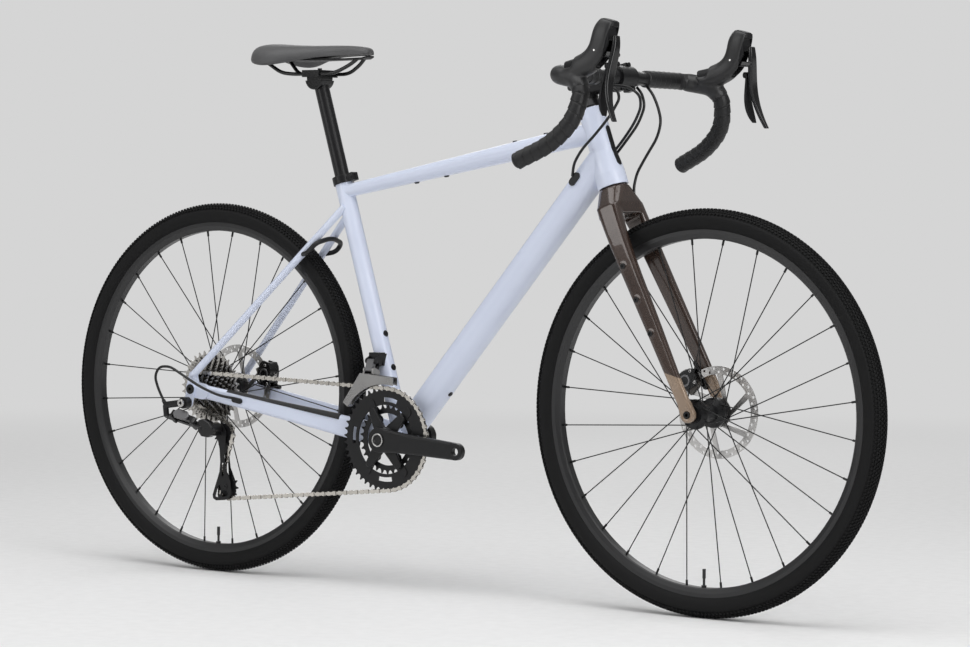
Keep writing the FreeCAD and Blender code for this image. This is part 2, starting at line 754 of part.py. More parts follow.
def thru_axle(axle, right_end, left_end, spacing):
    """Axle with a flanged head on the left, hollow ends, and the fixed sleeve that carries the hub."""
    shaft = joined([cross_cylinder(axle, AXLE_RADIUS, right_end, left_end + 4),
                    cross_cylinder(axle, AXLE_RADIUS + 3.5, left_end, left_end + 4)])
    shaft = shaft.cut(cross_cylinder(axle, AXLE_BORE_RADIUS, right_end, right_end + AXLE_BORE_DEPTH))
    shaft = shaft.cut(cross_cylinder(axle, AXLE_BORE_RADIUS, left_end + 4, left_end + 4 - AXLE_BORE_DEPTH))
    sleeve = cross_ring(axle, AXLE_SLEEVE_RADIUS, AXLE_RADIUS, -spacing / 2, spacing / 2)
    return compound([shaft, sleeve])


def tube_bolt(point, normal, carrier):
    """Low round bolt head seated on a tube."""
    head = joined([cylinder(point - normal * 4, point + normal * 2.2, 4.2),
                   cylinder(point - normal * 4, point + normal * 0.6, 6)])
    socket = cylinder(point + normal * 0.8, point + normal * 3, 2)
    return head.cut(carrier).cut(socket)


def on_tube(ends, share, y=0.0):
    point = ends[0] + (ends[1] - ends[0]) * share
    return Vector(point.x, y, point.z)


def frame_fittings():
    pieces = []
    seat_solid = seat_tube_outside()
    for height in SEAT_TUBE_BOLTS:
        pieces.append(tube_bolt(seat_point(height, SEAT_TUBE_RADIUS), SEAT_FORWARD, seat_solid))
    tubes = ((TOP_TUBE_ENDS, TOP_TUBE_SIZES, TOP_TUBE_BOLTS),
             (DOWN_TUBE_ENDS, DOWN_TUBE_SIZES, DOWN_TUBE_BOLTS))
    for ends, sizes, places in tubes:
        ahead = unit(ends[1] - ends[0])
        up = Vector(-ahead.z, 0, ahead.x)
        for share, face in places:
            half = (sizes[0][1] + (sizes[1][1] - sizes[0][1]) * share) / 2
            pieces.append(seated_bolt(on_tube(ends, share) + up * (face * (half + SEAT_GAP)), up * face))
    pieces += [tube_port(*place) for place in TUBE_PORTS]
    pieces += [stay_guard(), hanger(), stay_port(), mudguard_bridge(), head_badge()]
    return compound(pieces)


def tube_port(side, share, rise, length):
    """Cable port on a side of the down tube, raised from the tube's centre line."""
    ahead = unit(DOWN_TUBE_ENDS[1] - DOWN_TUBE_ENDS[0])
    up = Vector(-ahead.z, 0, ahead.x)
    centre = on_tube(DOWN_TUBE_ENDS, share) + up * rise
    face = DOWN_TUBE_SIZES[1][0] / 2
    reach = ahead * (length / 2 - PORT_RADIUS)
    block = plate(centre - reach, centre + reach, PORT_RADIUS, PORT_RADIUS,
                  side * (face - PORT_RADIUS), side * (face + PORT_HEIGHT))
    return block.cut(tube_outside(DOWN_TUBE_ENDS, DOWN_TUBE_SIZES))


def stay_guard():
    """Thin guard over the top of the right chainstay."""
    along = unit(CRANK_AXLE - REAR_AXLE)
    up = Vector(-along.z, 0, along.x)
    guard = chainstay(-1, STAY_STATIONS[1:5], GUARD_THICKNESS).cut(chainstay(-1))
    reach = STAY_STATIONS[4][0]
    depth = 4 * GUARD_RISE
    middle = REAR_AXLE + along * (reach / 2) + up * (GUARD_RISE - depth / 2)
    return guard.cut(local_box(middle, along, reach + depth, up, depth, -2 * REAR_SPACING, 0))


def hanger():
    """Replaceable derailleur hanger outside the right dropout."""
    arm = plate(REAR_AXLE, HANGER_POINT, HANGER_RADIUS, HANGER_RADIUS, -DROPOUT_OUTER, HANGER_OUTER_Y)
    return cut_all(arm, [cross_cylinder(REAR_AXLE, AXLE_RADIUS, 0, -REAR_SPACING),
                         cross_cylinder(HANGER_POINT, HANGER_BORE_RADIUS, 0, -REAR_SPACING)])


def seated_bolt(point, normal):
    head = joined([cylinder(point, point + normal * 2.2, 4.2), cylinder(point, point + normal * 0.6, 5)])
    return head.cut(cylinder(point + normal * 0.8, point + normal * 3, 2))


def stay_port():
    """Cable port on the outer face of the right chainstay."""
    along = unit(CRANK_AXLE - REAR_AXLE)
    centre = REAR_AXLE + along * STAY_PORT_REACH
    face = STAY_STATIONS[1][1]
    port = plate(centre - along * 7, centre + along * 7, 5, 5, -face, -face - STAY_PORT_HEIGHT)
    return port.cut(chainstay(-1))


def mudguard_bridge():
    """Arched bridge that stands in front of the seatstays, with its feet on them."""
    right = []
    for share, forward, outward in BRIDGE_ROUTE:
        right.append(seatstay_point(-1, share) + Vector(forward, -outward, 0))
    crest = seatstay_point(-1, BRIDGE_CREST[0]) + Vector(BRIDGE_CREST[1], 0, 0)
    crest.y = 0
    left = [Vector(point.x, -point.y, point.z) for point in reversed(right)]
    arch = pipe(right + [crest] + left, BRIDGE_RADIUS)
    return cut_all(arch, [seatstay(-1), seatstay(1)])


def head_badge():
    """Plain narrow plate that follows the front of the head tube."""
    shell = head_tube_outside(BADGE_THICKNESS).cut(head_tube_outside())
    low = head_point(HEAD_BOTTOM + BADGE_RANGE[0] + BADGE_HALF_WIDTH)
    high = head_point(HEAD_BOTTOM + BADGE_RANGE[1] - BADGE_HALF_WIDTH)
    return shell.common(link(low, high, BADGE_HALF_WIDTH, HEAD_FORWARD * 2 * HEAD_TUBE_LOWER_RADIUS))


# Wheels

def tyre(axle):
    """Hollow tyre whose beads sit inside the rim flanges."""
    middle = TYRE_RADIUS - TYRE_WIDTH / 2
    outer = TYRE_WIDTH / 2
    inner = outer - TYRE_WALL
    lip = BEAD_SEAT_DIAMETER / 2 + RIM_FLANGE_HEIGHT + 3 * SEAT_GAP
    seat = BEAD_SEAT_DIAMETER / 2 + SEAT_GAP
    bead_out = RIM_WIDTH / 2 - RIM_WALL - SEAT_GAP
    bead_in = bead_out - TYRE_WALL
    lip_y = math.sqrt(outer ** 2 - (middle - lip) ** 2)
    throat = middle - math.sqrt(inner ** 2 - bead_in ** 2)

    def at(radius, y):
        return Vector(radius, 0, y)

    corners = [at(lip, -lip_y), at(lip, -bead_out), at(seat, -bead_out), at(seat, -bead_in),
               at(throat, -bead_in)]
    opposite = [at(point.x, -point.z) for point in reversed(corners)]
    edges = [Part.Arc(opposite[-1], at(middle + outer, 0), corners[0]).toShape()]
    edges += [Part.LineSegment(a, b).toShape() for a, b in zip(corners, corners[1:])]
    edges.append(Part.Arc(corners[-1], at(middle + inner, 0), opposite[0]).toShape())
    edges += [Part.LineSegment(a, b).toShape() for a, b in zip(opposite, opposite[1:])]
    return spin(Part.Face(Part.Wire(edges)), axle, Y_AXIS)


def rim(axle):
    half = RIM_WIDTH / 2
    seat = BEAD_SEAT_DIAMETER / 2
    flange = seat + RIM_FLANGE_HEIGHT
    lip = half - RIM_WALL
    side = [(flange, lip), (flange, half), (seat - 3, half), (RIM_INNER_RADIUS + 2, half - 3),
            (RIM_INNER_RADIUS, half - 5)]
    well = [(seat, lip), (seat, lip - 3), (seat - 2, lip - 4)]
    outline = side + [(r, -y) for r, y in reversed(side)]
    outline += [(r, -y) for r, y in well] + list(reversed(well))
    return spin_outline(outline, axle, Y_AXIS)


def rim_with_valve(axle):
    """Rim and the valve that stands on its inner face at the bottom of the wheel."""
    foot = wheel_point(axle, RIM_INNER_RADIUS, -90)
    neck = wheel_point(axle, RIM_INNER_RADIUS - VALVE_LENGTH / 2, -90)
    tip = wheel_point(axle, RIM_INNER_RADIUS - VALVE_LENGTH, -90)
    valve = joined([cylinder(foot, tip, VALVE_RADIUS - 0.8), cylinder(neck, tip, VALVE_RADIUS),
                    cylinder(foot, foot + (tip - foot) * 0.12, VALVE_RADIUS + 1.5)])
    solid = rim(axle)
    return compound([solid, valve.cut(solid)])


def spoke_places(shift):
    """Hub angle, rim angle and leaning side of each spoke of one flange."""
    step = 360.0 / SPOKE_COUNT
    for index in range(SPOKE_COUNT // 2):
        lean = 1 if index % 2 == 0 else -1
        hub_angle = (2 * index + shift + 0.5) * step
        yield hub_angle, hub_angle + lean * SPOKE_CROSSES * 2 * step, lean


def spokes(axle, flanges):
    rim_solid = rim(axle)
    pieces = []
    for shift, flange_y in enumerate(flanges):
        outward = math.copysign(1, flange_y)
        for hub_angle, rim_angle, lean in spoke_places(shift):
            lift = FLANGE_THICKNESS / 2 + SPOKE_RADIUS + SEAT_GAP
            if lean == outward:
                lift += 2.0
            start = wheel_point(axle, SPOKE_CIRCLE, hub_angle, flange_y + lean * lift)
            end = wheel_point(axle, RIM_INNER_RADIUS + 1.5, rim_angle, 2 * outward)
            nipple = end - unit(end - start) * NIPPLE_LENGTH
            far = flange_y - lean * FLANGE_THICKNESS / 2
            parts = [
                cylinder(start, end, SPOKE_RADIUS),
                cylinder(nipple, end, NIPPLE_RADIUS),
                cross_cylinder(start, SPOKE_RADIUS, start.y, far),
                cross_cylinder(start, 2 * SPOKE_RADIUS, far, far - lean * 1.2),
            ]
            pieces.append(joined(parts).cut(rim_solid))
    return compound(pieces)


def hub(axle, flanges, right_end, left_end, rotor_y):
    """Hub shell with drilled flanges, a rotor seat on the left and a bearing at each end."""
    right, left = flanges
    half = FLANGE_THICKNESS / 2
    face = rotor_y - ROTOR_THICKNESS / 2
    end_radius = HUB_BEARING_RADIUS + 3
    root = max(right - 5.0, right_end + 0.5)
    outline = [
        (HUB_BEARING_RADIUS, right_end), (end_radius, right_end), (end_radius, root),
        (FLANGE_RADIUS, right - half), (FLANGE_RADIUS, right + half), (HUB_BODY_RADIUS, right + 8),
        (HUB_BODY_RADIUS, left - 8), (FLANGE_RADIUS, left - half), (FLANGE_RADIUS, left + half),
        (ROTOR_SEAT_RADIUS + 3, left + 6), (ROTOR_SEAT_RADIUS + 3, face), (ROTOR_SEAT_RADIUS, face),
        (ROTOR_SEAT_RADIUS, left_end), (HUB_BEARING_RADIUS, left_end),
    ]
    shell = spin_outline(outline, axle, Y_AXIS)
    holes = []
    for shift, flange_y in enumerate(flanges):
        for hub_angle, rim_angle, lean in spoke_places(shift):
            place = wheel_point(axle, SPOKE_CIRCLE, hub_angle)
            holes.append(cross_cylinder(place, SPOKE_RADIUS + SEAT_GAP, flange_y - 4, flange_y + 4))
    shell = shell.cut(compound(holes))
    inner = AXLE_SLEEVE_RADIUS + RUNNING_CLEARANCE
    bearings = [cross_ring(axle, HUB_BEARING_RADIUS, inner, right_end, right_end + HUB_BEARING_WIDTH),
                cross_ring(axle, HUB_BEARING_RADIUS, inner, left_end - HUB_BEARING_WIDTH, left_end)]
    return compound([shell] + bearings)


def sector_wire(centre, inner, outer, inner_from, inner_to, outer_from, outer_to, y):
    """Window between two arcs, with slanted sides."""
    outer_angles = (outer_from, (outer_from + outer_to) / 2, outer_to)
    inner_angles = (inner_to, (inner_from + inner_to) / 2, inner_from)
    points = [wheel_point(centre, outer, angle, y) for angle in outer_angles]
    points += [wheel_point(centre, inner, angle, y) for angle in inner_angles]
    edges = [Part.Arc(*points[:3]).toShape(), Part.LineSegment(points[2], points[3]).toShape(),
             Part.Arc(*points[3:]).toShape(), Part.LineSegment(points[5], points[0]).toShape()]
    return Part.Wire(edges)


def circle_wire(centre, radius, y):
    return Part.Wire(Part.Circle(Vector(centre.x, y, centre.z), Y_AXIS, radius).toShape())


def rotor(axle, rotor_y):
    """Drilled brake rotor on slanted arms, with its lock ring."""
    y = rotor_y - ROTOR_THICKNESS / 2
    band_inner = ROTOR_RADIUS - ROTOR_BAND
    step = 360.0 / ROTOR_ARMS
    wires = [circle_wire(axle, ROTOR_RADIUS, y), circle_wire(axle, ROTOR_SEAT_RADIUS, y)]
    for arm in range(ROTOR_ARMS):
        start = arm * step
        wires.append(sector_wire(axle, ROTOR_CARRIER_RADIUS, band_inner, start + 11, start + step - 11,
                                 start + 33, start + step + 23, y))
    holes = 4 * ROTOR_ARMS
    for index in range(holes):
        for row, share in enumerate((0.28, 0.7)):
            angle = (index + 0.5 * row) * 360.0 / holes
            place = wheel_point(axle, band_inner + ROTOR_BAND * share, angle)
            wires.append(circle_wire(place, ROTOR_HOLE_RADIUS, y))
    disc = holed_face(wires).extrude(Vector(0, ROTOR_THICKNESS, 0))
    lock_y = y + ROTOR_THICKNESS
    lock = cross_ring(axle, ROTOR_SEAT_RADIUS + 4, ROTOR_SEAT_RADIUS, lock_y, lock_y + 2.4)
    return compound([disc, lock])


# Disc brake calipers and pads

def pad_box(axle, angle, rotor_y, side, play=0.0):
    """Brake pad beside the rotor, or the pocket for it when play is given."""
    outward = wheel_point(Vector(0, 0, 0), 1, angle)
    ahead = wheel_point(Vector(0, 0, 0), 1, angle + 90)
    near = ROTOR_THICKNESS / 2 + (0 if play else PAD_AIR_GAP)
    far = ROTOR_THICKNESS / 2 + PAD_AIR_GAP + PAD_THICKNESS + play
    centre = wheel_point(axle, PAD_RADIUS, angle)
    return local_box(centre, ahead, PAD_LENGTH + 2 * play, outward, PAD_HEIGHT + 2 * play,
                     rotor_y + side * near, rotor_y + side * far)


def caliper(axle, angle, rotor_y, centre, along, size, seats):
    """Two-sided caliper body over the rotor, hollowed for the rotor and the pads."""
    across = Vector(-along.z, 0, along.x)
    low = rotor_y - CALIPER_INNER_WIDTH
    high = rotor_y + CALIPER_INNER_WIDTH + 3
    outline = rounded_section(Vector(centre.x, low, centre.z), along, across, *size, CALIPER_CORNER)
    body = Part.Face(outline).extrude(Vector(0, high - low, 0))
    slot_half = ROTOR_THICKNESS / 2 + PAD_AIR_GAP + 1
    tools = [cross_cylinder(axle, ROTOR_RADIUS + 2.5, rotor_y - slot_half, rotor_y + slot_half),
             pad_box(axle, angle, rotor_y, -1, PAD_PLAY), pad_box(axle, angle, rotor_y, 1, PAD_PLAY)]
    return cut_all(body, tools + list(seats))


def rear_caliper():
    along = unit(CRANK_AXLE - REAR_AXLE)
    up = Vector(-along.z, 0, along.x)
    seat_height = STAY_STATIONS[1][3] / 2
    centre = REAR_AXLE + along * REAR_CALIPER_REACH + up * (seat_height + REAR_CALIPER_SIZE[1] / 2)
    return caliper(REAR_AXLE, REAR_PAD_ANGLE, REAR_ROTOR_Y, centre, along, REAR_CALIPER_SIZE,
                   [finished_chainstay(1), finished_seatstay(1)])


def front_caliper(fork_solid):
    low = head_point(BLADE_SECTIONS[4][0], BLADE_SECTIONS[4][1])
    high = head_point(BLADE_SECTIONS[3][0], BLADE_SECTIONS[3][1])
    along = unit(high - low)
    back = Vector(-along.z, 0, along.x)
    depth = (BLADE_SECTIONS[3][3] + BLADE_SECTIONS[4][3]) / 4
    centre = (low + high) / 2 + along * FRONT_CALIPER_RISE
    centre = centre + back * (depth + FRONT_CALIPER_SIZE[1] / 2 - CALIPER_SINK)
    return caliper(FRONT_AXLE, FRONT_PAD_ANGLE, FRONT_ROTOR_Y, centre, along, FRONT_CALIPER_SIZE,
                   [fork_solid])


# Chain drive

def sprocket_radius(teeth):
    return CHAIN_PITCH / 2 / math.sin(math.pi / teeth)


def sprocket_wire(centre, teeth, phase, y):
    """Toothed outline with round roller seats; phase is the angle of one seat."""
    pitch_radius = sprocket_radius(teeth)
    tip_radius = pitch_radius + TOOTH_HEIGHT
    step = 360.0 / teeth
    tip_half = math.degrees(TOOTH_TIP_HALF / tip_radius)
    seat_open = math.radians(70)
    corners = []
    for tooth in range(teeth):
        angle = phase + tooth * step
        seat = wheel_point(centre, pitch_radius, angle, y)
        outward = wheel_point(Vector(0, 0, 0), 1, angle)
        ahead = wheel_point(Vector(0, 0, 0), 1, angle + 90)
        depth = outward * (ROLLER_SEAT * math.cos(seat_open))
        reach = ahead * (ROLLER_SEAT * math.sin(seat_open))
        corners.append((seat - depth - reach, seat - outward * ROLLER_SEAT, seat - depth + reach,
                        wheel_point(centre, tip_radius, angle + step / 2 - tip_half, y),
                        wheel_point(centre, tip_radius, angle + step / 2 + tip_half, y)))
    edges = []
    for (first, low, last, tip_a, tip_b), following in zip(corners, corners[1:] + corners[:1]):
        edges.append(Part.Arc(first, low, last).toShape())
        edges.append(Part.LineSegment(last, tip_a).toShape())
        edges.append(Part.LineSegment(tip_a, tip_b).toShape())
        edges.append(Part.LineSegment(tip_b, following[0]).toShape())
    return Part.Wire(edges)


def toothed_disc(centre, teeth, phase, middle_y, thickness, inner_wires):
    low = middle_y - thickness / 2
    wires = [sprocket_wire(centre, teeth, phase, low)] + inner_wires(low)
    return holed_face(wires).extrude(Vector(0, thickness, 0))


class ChainPath:
    """Closed path of the chain round four toothed wheels, seen from the drive side."""

    def __init__(self, tension_angle):
        tension = GUIDE_PULLEY + wheel_point(Vector(0, 0, 0), CAGE_LENGTH, tension_angle)
        sprocket = SPROCKET_TEETH[CHAIN_ON_SPROCKET]
        self.wheels = (
            (CRANK_AXLE, sprocket_radius(BIG_RING_TEETH), 1, BIG_RING_Y),
            (REAR_AXLE, sprocket_radius(sprocket), 1, CHAIN_Y),
            (GUIDE_PULLEY, sprocket_radius(PULLEY_TEETH), -1, CHAIN_Y),
            (tension, sprocket_radius(PULLEY_TEETH), 1, CHAIN_Y),
        )
        headings = []
        count = len(self.wheels)
        for index in range(count):
            here, here_radius, here_turn, _ = self.wheels[index]
            there, there_radius, there_turn, _ = self.wheels[(index + 1) % count]
            gap = there - here
            lean = (here_turn * here_radius - there_turn * there_radius) / math.hypot(gap.x, gap.z)
            headings.append(math.atan2(gap.z, gap.x) + math.asin(lean))
        self.pieces = []
        for index in range(count):
            centre, radius, turn, y = self.wheels[index]
            arrive = headings[index - 1]
            swept = ((headings[index] - arrive) * turn) % (2 * math.pi)
            self.pieces.append(("arc", centre, radius, turn, arrive, y, radius * swept, index))
            leave = self.tangent_point(index, headings[index])
            following = (index + 1) % count
            land = self.tangent_point(following, headings[index])
            self.pieces.append(("run", leave, land, y, self.wheels[following][3], None,
                                (land - leave).Length, index))
        self.length = sum(piece[6] for piece in self.pieces)

    def tangent_point(self, index, heading):
        centre, radius, turn, _ = self.wheels[index]
        return centre + Vector(math.sin(heading), 0, -math.cos(heading)) * (turn * radius)

    def at(self, distance):
        """Point of the path at a distance, and the index of the wheel that holds it or None."""
        distance = distance % self.length
        for piece in self.pieces:
            if distance <= piece[6]:
                break
            distance -= piece[6]
        if piece[0] == "arc":
            _, centre, radius, turn, arrive, y, _, index = piece
            heading = arrive + turn * distance / radius
            point = centre + Vector(math.sin(heading), 0, -math.cos(heading)) * (turn * radius)
            return Vector(point.x, y, point.z), index
        _, leave, land, y_from, y_to, _, length, _ = piece
        share = distance / length
        point = leave + (land - leave) * share
        blend = min(max((share - 0.15) / 0.7, 0.0), 1.0)
        return Vector(point.x, y_from + (y_to - y_from) * blend, point.z), None

    def walk(self, links):
        """Roller places one pitch apart, and how far the last step overshoots the start."""
        places = [self.at(0.0)]
        distance = 0.0
        for _ in range(links):
            here = self.at(distance)[0]
            low = distance + 0.9 * CHAIN_PITCH
            high = distance + 1.25 * CHAIN_PITCH
            for _ in range(34):
                middle = (low + high) / 2
                ahead = self.at(middle)[0]
                if math.hypot(ahead.x - here.x, ahead.z - here.z) < CHAIN_PITCH:
                    low = middle
                else:
                    high = middle
            distance = high
            places.append(self.at(distance))
        return places[:-1], distance - self.length


def fitted_chain():
    """Cage angle and roller places for which a whole, even number of links closes the chain."""
    links = 2 * round(ChainPath(TENSION_ANGLE).length / CHAIN_PITCH / 2)
    low = TENSION_ANGLE - 30.0
    high = TENSION_ANGLE + 30.0
    low_miss = ChainPath(low).walk(links)[1]
    for _ in range(36):
        middle = (low + high) / 2
        miss = ChainPath(middle).walk(links)[1]
        if (miss > 0) == (low_miss > 0):
            low = middle
        else:
            high = middle
    path = ChainPath(high)
    places = path.walk(links)[0]
    print("chain links", links, "cage angle", round(high, 2))
    return high, places


CAGE_ANGLE, ROLLER_PLACES = fitted_chain()
TENSION_PULLEY = GUIDE_PULLEY + wheel_point(Vector(0, 0, 0), CAGE_LENGTH, CAGE_ANGLE)


def seat_phase(wheel_index, centre):
    """Angle of a roller that sits on a toothed wheel."""
    for point, index in ROLLER_PLACES:
        if index == wheel_index:
            return math.degrees(math.atan2(point.z - centre.z, point.x - centre.x))
    return 0.0


def link_outline(low_y):
    """Waisted chain plate of one pitch, drawn from the origin along X."""
    reach = CHAIN_PLATE_RADIUS
    shoulder = reach * math.sqrt(0.5)
    half = CHAIN_PITCH / 2

    def at(x, z):
        return Vector(x, low_y, z)

    edges = [
        Part.Arc(at(shoulder, shoulder), at(-reach, 0), at(shoulder, -shoulder)).toShape(),
        Part.Arc(at(shoulder, -shoulder), at(half, -CHAIN_WAIST * 0.86),
                 at(CHAIN_PITCH - shoulder, -shoulder)).toShape(),
        Part.Arc(at(CHAIN_PITCH - shoulder, -shoulder), at(CHAIN_PITCH + reach, 0),
                 at(CHAIN_PITCH - shoulder, shoulder)).toShape(),
        Part.Arc(at(CHAIN_PITCH - shoulder, shoulder), at(half, CHAIN_WAIST * 0.86),
                 at(shoulder, shoulder)).toShape(),
    ]
    return Part.Wire(edges)


def link_ends():
    return (Vector(0, 0, 0), Vector(CHAIN_PITCH, 0, 0))


def inner_link():
    half = CHAIN_INNER_WIDTH / 2
    bore = CHAIN_PIN_RADIUS + RUNNING_CLEARANCE
    parts = []
    for low in (half, -half - CHAIN_PLATE):
        parts.append(Part.Face(link_outline(low)).extrude(Vector(0, CHAIN_PLATE, 0)))
    for end in link_ends():
        parts.append(cross_cylinder(end, ROLLER_RADIUS, -half, half))
    wide = half + CHAIN_PLATE
    return cut_all(joined(parts), [cross_cylinder(end, bore, -wide, wide) for end in link_ends()])


def outer_link():
    low = CHAIN_INNER_WIDTH / 2 + CHAIN_PLATE + CHAIN_PLATE_GAP
    parts = []
    for start in (low, -low - CHAIN_PLATE):
        parts.append(Part.Face(link_outline(start)).extrude(Vector(0, CHAIN_PLATE, 0)))
    for end in link_ends():
        parts.append(cross_cylinder(end, CHAIN_PIN_RADIUS, -low - CHAIN_PLATE, low + CHAIN_PLATE))
    return joined(parts)


def chain():
    kinds = (inner_link(), outer_link())
    points = [point for point, _ in ROLLER_PLACES]
    links = []
    for index, (here, there) in enumerate(zip(points, points[1:] + points[:1])):
        along = unit(there - here)
        up = unit(along.cross(Y_AXIS))
        side = up.cross(along)
        matrix = FreeCAD.Matrix(along.x, side.x, up.x, here.x, along.y, side.y, up.y, here.y,
                                along.z, side.z, up.z, here.z, 0, 0, 0, 1)
        link = kinds[index % 2].copy()
        link.Placement = FreeCAD.Placement(matrix)
        links.append(link)
    return compound(links)


def cassette():
    """Sprockets, spacers, lock ring and the freehub body that carries them."""
    phase = seat_phase(1, REAR_AXLE)
    bore = FREEHUB_RADIUS + RUNNING_CLEARANCE
    pieces = []
    for index, teeth in enumerate(SPROCKET_TEETH):
        y = SMALLEST_SPROCKET_Y + index * SPROCKET_SPACING
        root = sprocket_radius(teeth) - ROLLER_SEAT

        def windows(low):
            wires = [circle_wire(REAR_AXLE, bore, low)]
            room = root - bore - 10
            if room > 6:
                for step in range(8):
                    place = wheel_point(REAR_AXLE, bore + 6 + room / 2, step * 45 + 6 * index)
                    wires.append(circle_wire(place, min(room / 2, 9), low))
            return wires

        pieces.append(toothed_disc(REAR_AXLE, teeth, phase, y, SPROCKET_THICKNESS, windows))
        if index:
            spacer_end = y - SPROCKET_THICKNESS / 2
            spacer_start = spacer_end - SPROCKET_SPACING + SPROCKET_THICKNESS
            pieces.append(cross_ring(REAR_AXLE, bore + 1.6, bore, spacer_start, spacer_end))
    outer_end = SMALLEST_SPROCKET_Y - SPROCKET_THICKNESS / 2
    inner_end = SMALLEST_SPROCKET_Y + (len(SPROCKET_TEETH) - 1) * SPROCKET_SPACING + 2.4
    sleeve = AXLE_SLEEVE_RADIUS + RUNNING_CLEARANCE
    pieces.append(cross_ring(REAR_AXLE, FREEHUB_RADIUS, sleeve, outer_end, inner_end))
    pieces.append(cross_ring(REAR_AXLE, FREEHUB_RADIUS + 1, sleeve + 2.5, outer_end - 2.5, outer_end))
    return compound(pieces)


REAR_HUB_RIGHT_END = (SMALLEST_SPROCKET_Y + (len(SPROCKET_TEETH) - 1) * SPROCKET_SPACING + 2.4 + MOVING_GAP)


# Cranks and chainrings

CRANK_AHEAD = wheel_point(Vector(0, 0, 0), 1, CRANK_ANGLE)
CRANK_ACROSS = Vector(-CRANK_AHEAD.z, 0, CRANK_AHEAD.x)
SPIDER_OUTER_Y = BIG_RING_Y - 7.5
SPIDER_INNER_Y = BIG_RING_Y - 2.2


def crank_arm(turn, side):
    """Arm from the axle boss to the pedal thread; turn is 1 for the right arm and -1 for the left."""
    ahead = CRANK_AHEAD * turn
    across = CRANK_ACROSS * turn
    pedal = CRANK_AXLE + ahead * CRANK_LENGTH
    sections = []
    for share in (0.0, 0.25, 0.65, 1.0):
        width = CRANK_AXLE_WIDTH + (CRANK_PEDAL_WIDTH - CRANK_AXLE_WIDTH) * math.sqrt(share)
        inner = CRANK_INNER_Y + (CRANK_PEDAL_Y - CRANK_INNER_Y) * share
        sideways = Vector(0, side * (inner + CRANK_THICKNESS / 2), 0)
        centre = CRANK_AXLE + ahead * (CRANK_LENGTH * share) + sideways
        sections.append(rounded_section(centre, Y_AXIS, across, CRANK_THICKNESS, width, 4.5))
    boss = cross_cylinder(CRANK_AXLE, CRANK_AXLE_WIDTH / 2, side * (CRANK_INNER_Y - 2.5),
                          side * (CRANK_INNER_Y + CRANK_THICKNESS))
    eye = cross_cylinder(pedal, CRANK_PEDAL_WIDTH / 2, side * CRANK_PEDAL_Y,
                         side * (CRANK_PEDAL_Y + CRANK_THICKNESS))
    arm = joined([loft(sections), boss, eye])
    return arm.cut(cross_cylinder(pedal, PEDAL_THREAD_RADIUS, side * 40, side * 100))


def ring_bolt_places(circle):
    return [wheel_point(CRANK_AXLE, circle, CRANK_ANGLE + angle) for angle in SPIDER_ANGLES]


def crank_arms():
    """Right arm with its spider, the spindle in it, and the left arm clamped on the spindle."""
    spindle_left = CRANK_INNER_Y + CRANK_THICKNESS
    spider = [plate(CRANK_AXLE, place, 15, 8, SPIDER_OUTER_Y, SPIDER_INNER_Y)
              for place in ring_bolt_places(BIG_BOLT_CIRCLE)]
    neck_end = SHELL_WIDTH / 2 + CUP_WIDTH + MOVING_GAP
    neck = cross_cylinder(CRANK_AXLE, CRANK_NECK_RADIUS, -neck_end, -CRANK_INNER_Y)
    inner = SPINDLE_RADIUS - SPINDLE_WALL
    bore = cross_cylinder(CRANK_AXLE, inner, -CRANK_INNER_Y + 10, spindle_left)
    right = joined([crank_arm(1, -1), neck] + spider).cut(bore)
    spindle = cross_ring(CRANK_AXLE, SPINDLE_RADIUS, inner, -neck_end, spindle_left)
    collar = cross_cylinder(CRANK_AXLE, CRANK_NECK_RADIUS, neck_end, CRANK_INNER_Y)
    left = joined([crank_arm(-1, 1), collar])
    left = left.cut(cross_cylinder(CRANK_AXLE, SPINDLE_RADIUS, 0, 100))
    cap = cross_cylinder(CRANK_AXLE, inner, spindle_left - 3, spindle_left + 2)
    return compound([right, spindle, left, cap])


def chainring(teeth, y, phase, band, bolt_circle, tab_from, tab_to, slots=()):
    """Toothed ring with a tab for each spider arm and slots in its band."""
    root = sprocket_radius(teeth) - ROLLER_SEAT
    inner = root - band
    tab_end = band / 3

    def holes(low):
        wires = [circle_wire(CRANK_AXLE, inner, low)]
        for angle in slots:
            first = CRANK_ANGLE + angle - RING_SLOT_SPAN
            last = CRANK_ANGLE + angle + RING_SLOT_SPAN
            wires.append(sector_wire(CRANK_AXLE, root - RING_SLOT_INSET[1], root - RING_SLOT_INSET[0],
                                     first, last, first, last, low))
        return wires

    ring = toothed_disc(CRANK_AXLE, teeth, phase, y, RING_THICKNESS, holes)
    tabs = []
    for place in ring_bolt_places(bolt_circle):
        outward = unit(place - CRANK_AXLE)
        tabs.append(plate(place, CRANK_AXLE + outward * (inner + tab_end), RING_TAB_RADIUS, tab_end,
                          tab_from, tab_to))
    return joined([ring] + tabs)


def chainrings():
    half = RING_THICKNESS / 2
    big = chainring(BIG_RING_TEETH, BIG_RING_Y, seat_phase(0, CRANK_AXLE), BIG_RING_BAND, BIG_BOLT_CIRCLE,
                    SPIDER_INNER_Y, BIG_RING_Y + half, RING_SLOTS)
    small = chainring(SMALL_RING_TEETH, SMALL_RING_Y, 0.0, SMALL_RING_BAND, SMALL_BOLT_CIRCLE,
                      SMALL_RING_Y - half, SMALL_RING_Y + half)
    bolts = []
    for place in ring_bolt_places(BIG_BOLT_CIRCLE):
        bolts.append(cross_cylinder(place, RING_BOLT_RADIUS, BIG_RING_Y + half, BIG_RING_Y + half + 1.5))
    for place in ring_bolt_places(SMALL_BOLT_CIRCLE):
        bolts.append(cross_cylinder(place, RING_BOLT_RADIUS, SPIDER_INNER_Y, SMALL_RING_Y - half))
    return compound([big, small] + bolts)


# Derailleurs

